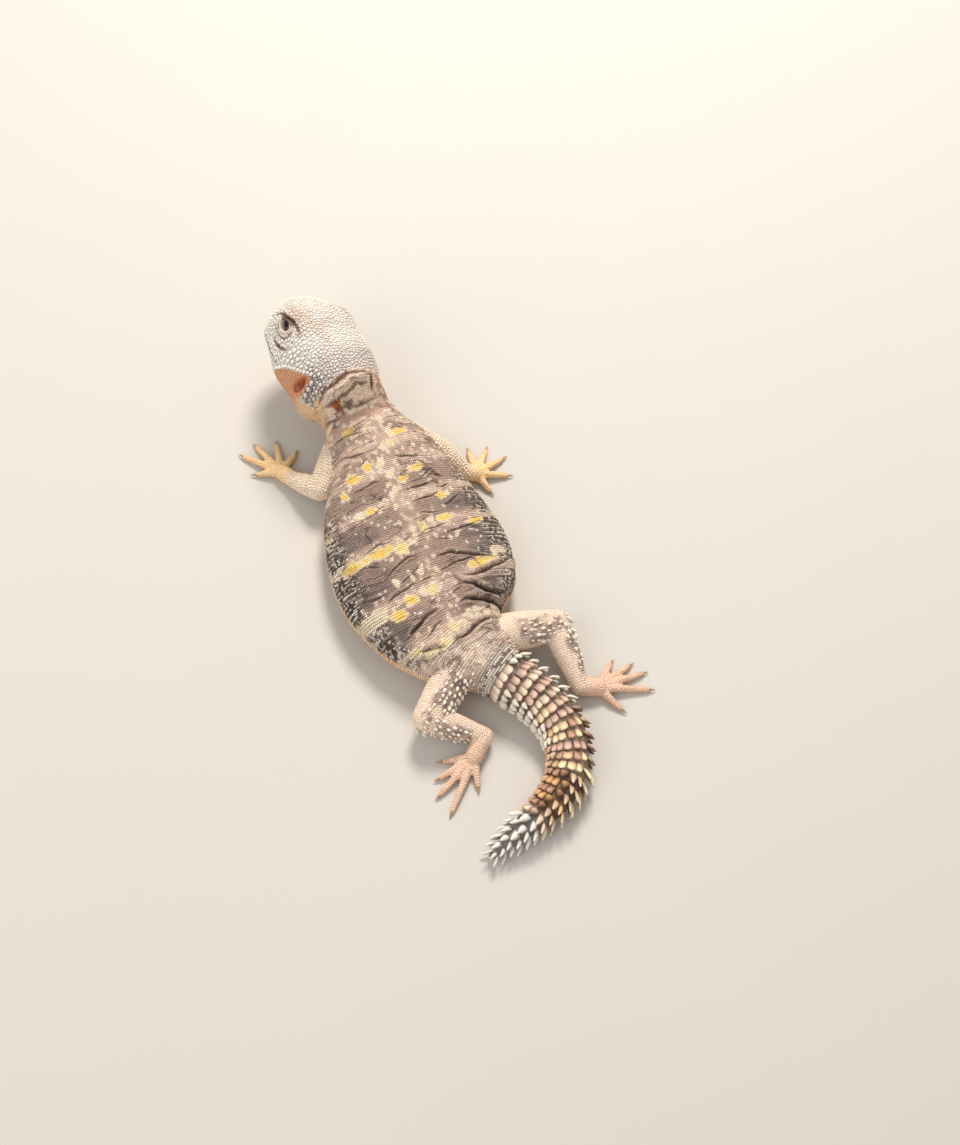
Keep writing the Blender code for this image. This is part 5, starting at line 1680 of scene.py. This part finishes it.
# The eyes: a ball each, seen between the lids, with a finely streaked brown iris round a dark pupil, under a
# wet clear cornea that bulges a little.
EYE_SIDES = 40
EYE_TILTS = np.concatenate([np.linspace(0.02, 0.9, 26), np.linspace(1.0, pi - 0.02, 14)])
EYE_FACING = (1.0, 0.08, 0.1)
CORNEA = (0.985, 0.03, 0.5)
IRIS = 0.82
PUPIL = 0.38
PUPIL_RING = 0.06
EYE_DARK = (0.20, 0.12, 0.07)
IRIS_BROWN = (0.34, 0.225, 0.13)
IRIS_PALE = (0.50, 0.37, 0.22)
PUPIL_BLACK = (0.03, 0.022, 0.015)


def eye_axes(side):
    """An eye's outward way on side 1, right, or -1, left, and two ways square to it: ahead and up."""
    outward = unit(np.array(EYE_FACING) * (side, 1, 1))
    ahead = unit(np.array((0, 1, 0)) - outward * outward[1])
    return outward, ahead, np.cross(outward, ahead) * side


def eye_material():
    """Eye: dark pupil, brown iris with fine streaks and a paler ring, under a wet clear coat."""
    material = bpy.data.materials.new("eye")
    material.use_nodes = True
    tree = material.node_tree
    shader = tree.nodes["Principled BSDF"]
    shader.inputs["Roughness"].default_value = 0.22
    shader.inputs["Specular IOR Level"].default_value = 0.1
    shader.inputs["Coat Weight"].default_value = 0.4
    shader.inputs["Coat Roughness"].default_value = 0.03
    stored = node(tree, "ShaderNodeAttribute", attribute_name="markings")
    where = node(tree, "ShaderNodeTexCoord")
    streak = node(tree, "ShaderNodeTexNoise", Scale=2600.0, Detail=3.0)
    shade = node(tree, "ShaderNodeMapRange", **{"To Min": 0.6, "To Max": 1.4})
    tinted = node(tree, "ShaderNodeVectorMath", operation="SCALE")
    join(tree, [
        (where, "Object", streak, "Vector"),
        (streak, "Fac", shade, "Value"),
        (stored, "Color", tinted, 0),
        (shade, "Result", tinted, "Scale"),
        (tinted, "Vector", shader, "Base Color"),
    ])
    return material


def eye_colours(angles, turns):
    """Iris and pupil by the angle from the eye's axis, streaked by the turn round it."""
    streaks = 0.85 + 0.3 * np.sin(turns * 17) * np.sin(turns * 5 + 1)
    colours = all_over(angles, linear(EYE_DARK))
    colours = lay(colours, step(IRIS - angles, 0, 0.12), linear(IRIS_BROWN) * streaks[:, None])
    ring = np.exp(-(((angles - PUPIL - PUPIL_RING) / PUPIL_RING) ** 2))
    colours = lay(colours, 0.35 * ring, linear(IRIS_PALE))
    return lay(colours, step(PUPIL - angles, -0.02, 0.02), linear(PUPIL_BLACK))


def build_eye(name, place, side):
    """One eyeball, fine near its front, where the iris and pupil are."""
    outward, ahead, upward = eye_axes(side)
    turns = 2 * pi * (np.arange(EYE_SIDES) + 0.5) / EYE_SIDES
    square = np.cos(turns)[:, None] * ahead + np.sin(turns)[:, None] * upward
    smallest, rise, spread = CORNEA
    rings = []
    for angle in EYE_TILTS:
        bulge = EYE_RADIUS * (smallest + rise * np.exp(-((angle / spread) ** 2)))
        rings.append(place + bulge * (np.cos(angle) * outward + np.sin(angle) * square))
    made = solid(from_head(np.array(rings)))
    made.name = name.replace("eye", "eyeball")
    made.data.name = made.name
    store_colours(made.data, eye_colours(np.repeat(EYE_TILTS, EYE_SIDES), np.tile(turns, len(EYE_TILTS))))
    made.data.transform(Matrix.Scale(MM, 4))
    made.data.materials.append(eye_finish)
    made.data.shade_smooth()
    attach(made, "root")
    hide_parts(name)


eye_finish = eye_material()
for name, place, side in zip(("eye_right", "eye_left"), both_sides(EYE_CENTRE), (1, -1)):
    build_eye(name, place, side)

# The tail's armour: whorls of horny scales, each rising over the next, with the skin between them darkened
# by painted shade. On top they are blunt knobs. At the sides, round the bend and at the tip they are drawn
# out into spines.
TURN_LOW = radians(-24)
TURN_SPAN = radians(228)
# Knobs and leaves as rows of how far back, half width and height, then the tip.
KNOB_ROWS = ((0, 0.86, 0.1), (0.12, 0.96, 0.4), (0.5, 1.0, 0.72), (0.82, 0.95, 0.98), (0.96, 0.72, 1.0))
KNOB_TIP = (0, 1.16, 1.0)
LEAF_ROWS = ((0, 0.85, 0.35), (0.15, 1, 0.7), (0.4, 0.88, 0.85), (0.65, 0.58, 0.66), (0.85, 0.28, 0.42))
LEAF_TIP = (0, 1.0, 0.25)
LOFT_SIDES = 8
# How many scales stand round a whorl, by the whorl's number.
SCALES_ROUND = ((0, 12), (8, 11), (15, 9), (18, 6), (23, 4))
SPINE_WHITE = (0.97, 0.94, 0.87)
SPINE_CREAM = (0.97, 0.89, 0.76)
SPINE_TAN = (0.84, 0.71, 0.58)
SPINE_BROWN = (0.45, 0.31, 0.23)
SPINE_SILVER = (0.96, 0.93, 0.89)


def lofted(rows, tip, under=0.5, square=1.0):
    """A closed horny scale over rows of how far back, half width and height, drawn to a tip."""
    turns = 2 * pi * np.arange(LOFT_SIDES) / LOFT_SIDES
    wide = np.sign(np.cos(turns)) * np.abs(np.cos(turns)) ** square
    lift = np.sign(np.sin(turns)) * np.abs(np.sin(turns)) ** square
    lift = np.where(lift > 0, lift, under * lift)
    points = [(width * a, back, height * b) for back, width, height in rows for a, b in zip(wide, lift)]
    points.append(tip)
    last = (len(rows) - 1) * LOFT_SIDES
    beside = [(k, (k + 1) % LOFT_SIDES) for k in range(LOFT_SIDES)]
    faces = [tuple(range(LOFT_SIDES))]
    for i in range(0, last, LOFT_SIDES):
        faces += [(i + k, i + LOFT_SIDES + k, i + LOFT_SIDES + n, i + n) for k, n in beside]
    faces += [(last + k, len(points) - 1, last + n) for k, n in beside]
    points = np.array(points)
    # Painted light: each scale darker toward its base, as painted shade, and lighter on top, a painted
    # highlight.
    shade = np.clip(0.5 + 0.6 * points[:, 2], 0.3, 1.06)
    return {"points": points, "faces": faces, "shade": shade, "tip": np.clip(points[:, 1] * 1.6 - 0.6, 0, 1)}


def tail_place(distance, turn, scale):
    """A point round the tail: at a distance along it and a turn from its right side up over the top."""
    ring = ring_at(full_tail, tail_reach, distance)
    middle = ring.mean(axis=0)
    sides = len(ring)
    at = (turn / (2 * pi) * sides - 0.5) % sides
    low = int(at)
    share = at - low
    point = ring[low % sides] * (1 - share) + ring[(low + 1) % sides] * share
    return middle + (point - middle) * scale


def spine_of(whorl, turn):
    """What spine a tail scale carries: its length in mm, how far it is raised, and its tip's colour."""
    right = cos(turn)
    if whorl >= SILVER_WHORL:
        return 4.6 - 0.12 * (whorl - SILVER_WHORL), 0.5 + 0.2 * abs(right), SPINE_SILVER
    if right > 0.72:
        if whorl < 6:
            return 3.7, 0.85, SPINE_WHITE
        return (3.0, 0.8, SPINE_BROWN) if whorl < 11 else (4.8, 0.7, SPINE_CREAM)
    if whorl >= 12 and right > -0.25:
        return 4.2 if right > 0.25 else 3.2, 0.45, SPINE_CREAM if right > 0.2 else SPINE_BROWN
    if whorl == 0 and 0.0 < right < 0.8:
        return 2.9, 0.5, SPINE_WHITE
    if right < -0.75 and whorl > 0:
        return (3.1, 0.12, SPINE_WHITE) if whorl < 9 else (2.4, 0.12, SPINE_TAN)
    return 0.0, 0.0, None


coat = empty_coat()
spine_coat = empty_coat()
knob_shape = lofted(KNOB_ROWS, KNOB_TIP, square=0.55)
leaf_shape = lofted(LEAF_ROWS, LEAF_TIP, under=0.35)
tail_form = np.array([FORM_NAMES.index("tail")])
chance = np.random.default_rng(23)
for whorl, (start, end) in enumerate(zip(whorl_edges[:-1], whorl_edges[1:])):
    long = end - start
    count = int(round(np.interp(whorl, *zip(*SCALES_ROUND))))
    middle = ring_at(full_tail, tail_reach, start + 0.5 * long).mean(axis=0)
    for k in range(count):
        turn = TURN_LOW + TURN_SPAN * (k + 0.25 + 0.5 * (whorl % 2)) / count
        front = tail_place(start + 0.04 * long, turn, 0.86)
        rear = tail_place(min(start + 0.9 * long, tail_reach[-1]), turn, 0.96)
        half = TURN_SPAN / count / 2
        ends = [tail_place(start + 0.6 * long, turn + reach, 0.98) for reach in (half, -half)]
        wide = np.linalg.norm(ends[0] - ends[1]) / 2
        out = unit((front + rear) / 2 - middle)
        way = unit(rear - front)
        colour = markings(front[None], tail_form, np.array([start + 0.01]), np.array([0.0]))
        colour = colour * chance.uniform(0.85, 1.1)
        flat = unwrap_place("tail", np.array([start]), np.array([turn / pi - 0.5]))
        length, raised, tip = spine_of(whorl, turn)
        if not length:
            size = np.array([(wide * 0.96, 0.76 * long, 0.7 + 0.12 * long)])
            size = size * chance.uniform(0.9, 1.08, (1, 3))
            # Each knob's body is darkened and its raised rear tip lightened: painted shade and painted
            # highlight.
            grow(coat, knob_shape, front[None], out[None], way[None], size, colour * 0.82, flat,
                 tips=np.clip(colour * 1.2 + 0.03, 0, 1))
            continue
        length *= chance.uniform(0.88, 1.12)
        root = tail_place(start + (0.12 if raised < 0.6 else 0.3) * long, turn, 0.86)
        aim = unit(way + out * raised)
        plump = 1.2 if raised < 0.3 else 0.85
        size = np.array([(wide * (1.05 if raised < 0.6 else 0.95), length, plump * wide + 0.15)])
        if (root + aim * length)[2] < 0.25:
            aim = unit(aim * (1, 1, 0) + (0, 0, (0.3 - root[2]) / length))
        pale = 0.75 if tip in (SPINE_WHITE, SPINE_SILVER) else 0.3
        tip_colour = linear(tip)
        grow(spine_coat, leaf_shape, root[None], out[None], aim[None], size,
             colour * (1 - pale) + tip_colour * pale, flat, tips=tip_colour[None], aimed=True)
coat_object("whorl_scales", coat, scale_finish)
horn_finish = animal_material("horn", (700.0, 0.25), (0.38, 0.58), 3200.0, (0.2, 0.0001), specular=0.42)
coat_object("tail_spines", spine_coat, horn_finish)

# Spiny tubercles of the hind legs: pale cones of horn in rows over the top and rear of thighs and shins, set
# in darker skin and largest at the knees.
TUBERCLE_PALE = (0.97, 0.92, 0.84)
TUBERCLE_PITCH = 2.1
TUBERCLE_SIZE = (0.66, 1.9, 0.85)
TUBERCLE_SUNK = 0.5
TUBERCLE_ROWS = ((0, 0.95, 0.5), (0.2, 1, 0.9), (0.5, 0.8, 1.0), (0.78, 0.42, 0.8))
TUBERCLE_TIP = (0, 1.0, 0.5)
coat = empty_coat()
tubercle_shape = lofted(TUBERCLE_ROWS, TUBERCLE_TIP, under=0.8)
for name in TUBERCLE_PATCHES:
    places, ways, along, around = rows_over(forms[name], TUBERCLE_PITCH, 0.95 * TUBERCLE_PITCH)
    places = places + chance.uniform(-0.55, 0.55, places.shape)
    chosen = tubercle_patch(places, name) > 0.55
    spots, ups, kept = settle(places[chosen], 1.2)
    spots, ups, ways = spots[kept], ups[kept], ways[chosen][kept]
    along, around = along[chosen][kept], around[chosen][kept]
    colours = all_over(spots, linear(TUBERCLE_PALE)) * chance.uniform(0.8, 1.08, (len(spots), 1))
    near_knee = along / reach_of(forms[name])[-1]
    if "shin" in name:
        near_knee = 1 - near_knee
    sizes = np.tile(TUBERCLE_SIZE, (len(spots), 1)) * chance.uniform(0.65, 1.2, (len(spots), 1))
    sizes = sizes * (0.5 + 0.65 * near_knee[:, None])
    ways = unit(ways + (0.4 + 0.6 * near_knee[:, None]) * ups)
    grow(coat, tubercle_shape, spots - ways * TUBERCLE_SUNK, ups, ways, sizes, colours,
         unwrap_place(name, along, around), tips=colours, aimed=True)
coat_object("leg_tubercles", coat, horn_finish)

# The claws: short hooks of dark horn, one on each toe, round in section and sharp. Each starts a little
# inside its toe, arches forward and points at the floor.
CLAW_LONG = 2.9
CLAW_THICK = 0.5
CLAW_SUNK = 0.5
CLAW_RINGS = 9
CLAW_SIDES = 12
CLAW_LIFTS = ((0, 0.4, 0.75, 1.0), (0, 0.15, -0.1, -0.5))
CLAW_TAPER = ((0, 0.3, 0.7, 1.0), (1.0, 0.92, 0.5, 0.08))
claw_finish = animal_material(
    "claw_horn", (1400.0, 0.5), (0.18, 0.35), 2600.0, (0.15, 0.0001), specular=0.55, marked=False,
    colour=(0.66, 0.53, 0.40),
)


def claw_rings(path):
    """Rings of the claw at the end of a toe's centre line."""
    ahead = unit(path[-1] - path[-2])
    share = np.linspace(0, 1, CLAW_RINGS)
    line = path[-1] - ahead * CLAW_SUNK + unit(ahead * (1, 1, 0)) * CLAW_LONG * share[:, None]
    line[:, 2] = path[-1][2] + np.interp(share, *CLAW_LIFTS)
    return tube_rings(line, CLAW_THICK * np.interp(share, *CLAW_TAPER), CLAW_SIDES)


for leg_name in LEGS:
    kind, side = leg_name.split("_")
    foot = SEGMENTS[kind][2]
    vertices, faces = [], []
    for number in range(1, 6):
        first = len(vertices) * CLAW_RINGS * CLAW_SIDES
        faces += [tuple(v + first for v in face) for face in ring_faces(CLAW_RINGS, CLAW_SIDES)]
        vertices.append(claw_rings(np.array(toes[f"{foot}_{side}_{number}"])).reshape(-1, 3))
    mesh = bpy.data.meshes.new(f"claws_{foot}_{side}")
    mesh.from_pydata(np.concatenate(vertices) * MM, [], faces)
    mesh.flip_normals()
    mesh.shade_smooth()
    mesh.materials.append(claw_finish)
    claws = add_object(mesh.name, mesh)
    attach(claws, "root")
    for number in range(1, 6):
        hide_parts(f"claw_{foot}_{side}_{number}")

# The room: a plain pale floor of matt board, a soft lamp ahead on the right, a larger and weaker one on the
# left, and pale light from all round.
FLOOR_HALF = 3.0
FLOOR_TONE = (0.80, 0.78, 0.75)
KEY_WARM = (1.0, 0.95, 0.88)
FILL_COOL = (0.97, 0.98, 1.0)
STUDIO_TONE = (1.0, 0.985, 0.965)
STUDIO_LIGHT = 0.55

floor_mesh = bpy.data.meshes.new("floor")
corners = [(x * FLOOR_HALF, y * FLOOR_HALF, 0) for x, y in ((-1, -1), (1, -1), (1, 1), (-1, 1))]
floor_mesh.from_pydata(corners, [], [(0, 1, 2, 3)])
floor = add_object("floor", floor_mesh)
floor_finish = animal_material(
    "floor", (3.0, 0.06), (0.7, 0.8), 60.0, (0.02, 0.0002), specular=0.2, marked=False, colour=FLOOR_TONE
)
floor_mesh.materials.append(floor_finish)


def soft_lamp(name, place, size, power, colour):
    """A round soft lamp that faces the animal."""
    lamp = bpy.data.lights.new(name, "AREA")
    lamp.shape = "DISK"
    lamp.size = size
    lamp.energy = power
    lamp.color = colour
    made = add_object(name, lamp)
    made.location = place
    made.rotation_euler = (-Vector(place)).to_track_quat("-Z", "Y").to_euler()


soft_lamp("key", (0.35, 0.55, 0.75), 0.32, 9.6, KEY_WARM)
soft_lamp("fill", (-0.7, -0.2, 0.6), 0.8, 3.0, FILL_COOL)
world = bpy.data.worlds.new("studio")
world.use_nodes = True
background = world.node_tree.nodes["Background"]
background.inputs["Color"].default_value = (*STUDIO_TONE, 1)
background.inputs["Strength"].default_value = STUDIO_LIGHT
bpy.context.scene.world = world
bpy.context.scene.view_settings.view_transform = "Standard"

# The camera: where the photographer stood, high behind the animal on its left, turned with the animal onto
# the floor.
CAMERA_LENS = 50
CAMERA_SENSOR = 36
CAMERA_PLACE = Vector((-0.1358, -0.2395, 0.4817))
CAMERA_RIGHT = Vector((0.8884, -0.4536, 0.0696))
CAMERA_UP = Vector((0.3639, 0.7889, 0.4950))
CAMERA_BACK = Vector((-0.2796, -0.4145, 0.8660))

camera_data = bpy.data.cameras.new("camera")
camera_data.lens = CAMERA_LENS
camera_data.sensor_width = CAMERA_SENSOR
camera_data.sensor_fit = "AUTO"
camera_data.clip_start = 0.01
camera = add_object("camera", camera_data)
turned = Matrix((CAMERA_RIGHT, CAMERA_UP, CAMERA_BACK)).transposed().to_4x4()
camera.matrix_world = Matrix.Translation(CAMERA_PLACE) @ turned
bpy.context.scene.camera = camera
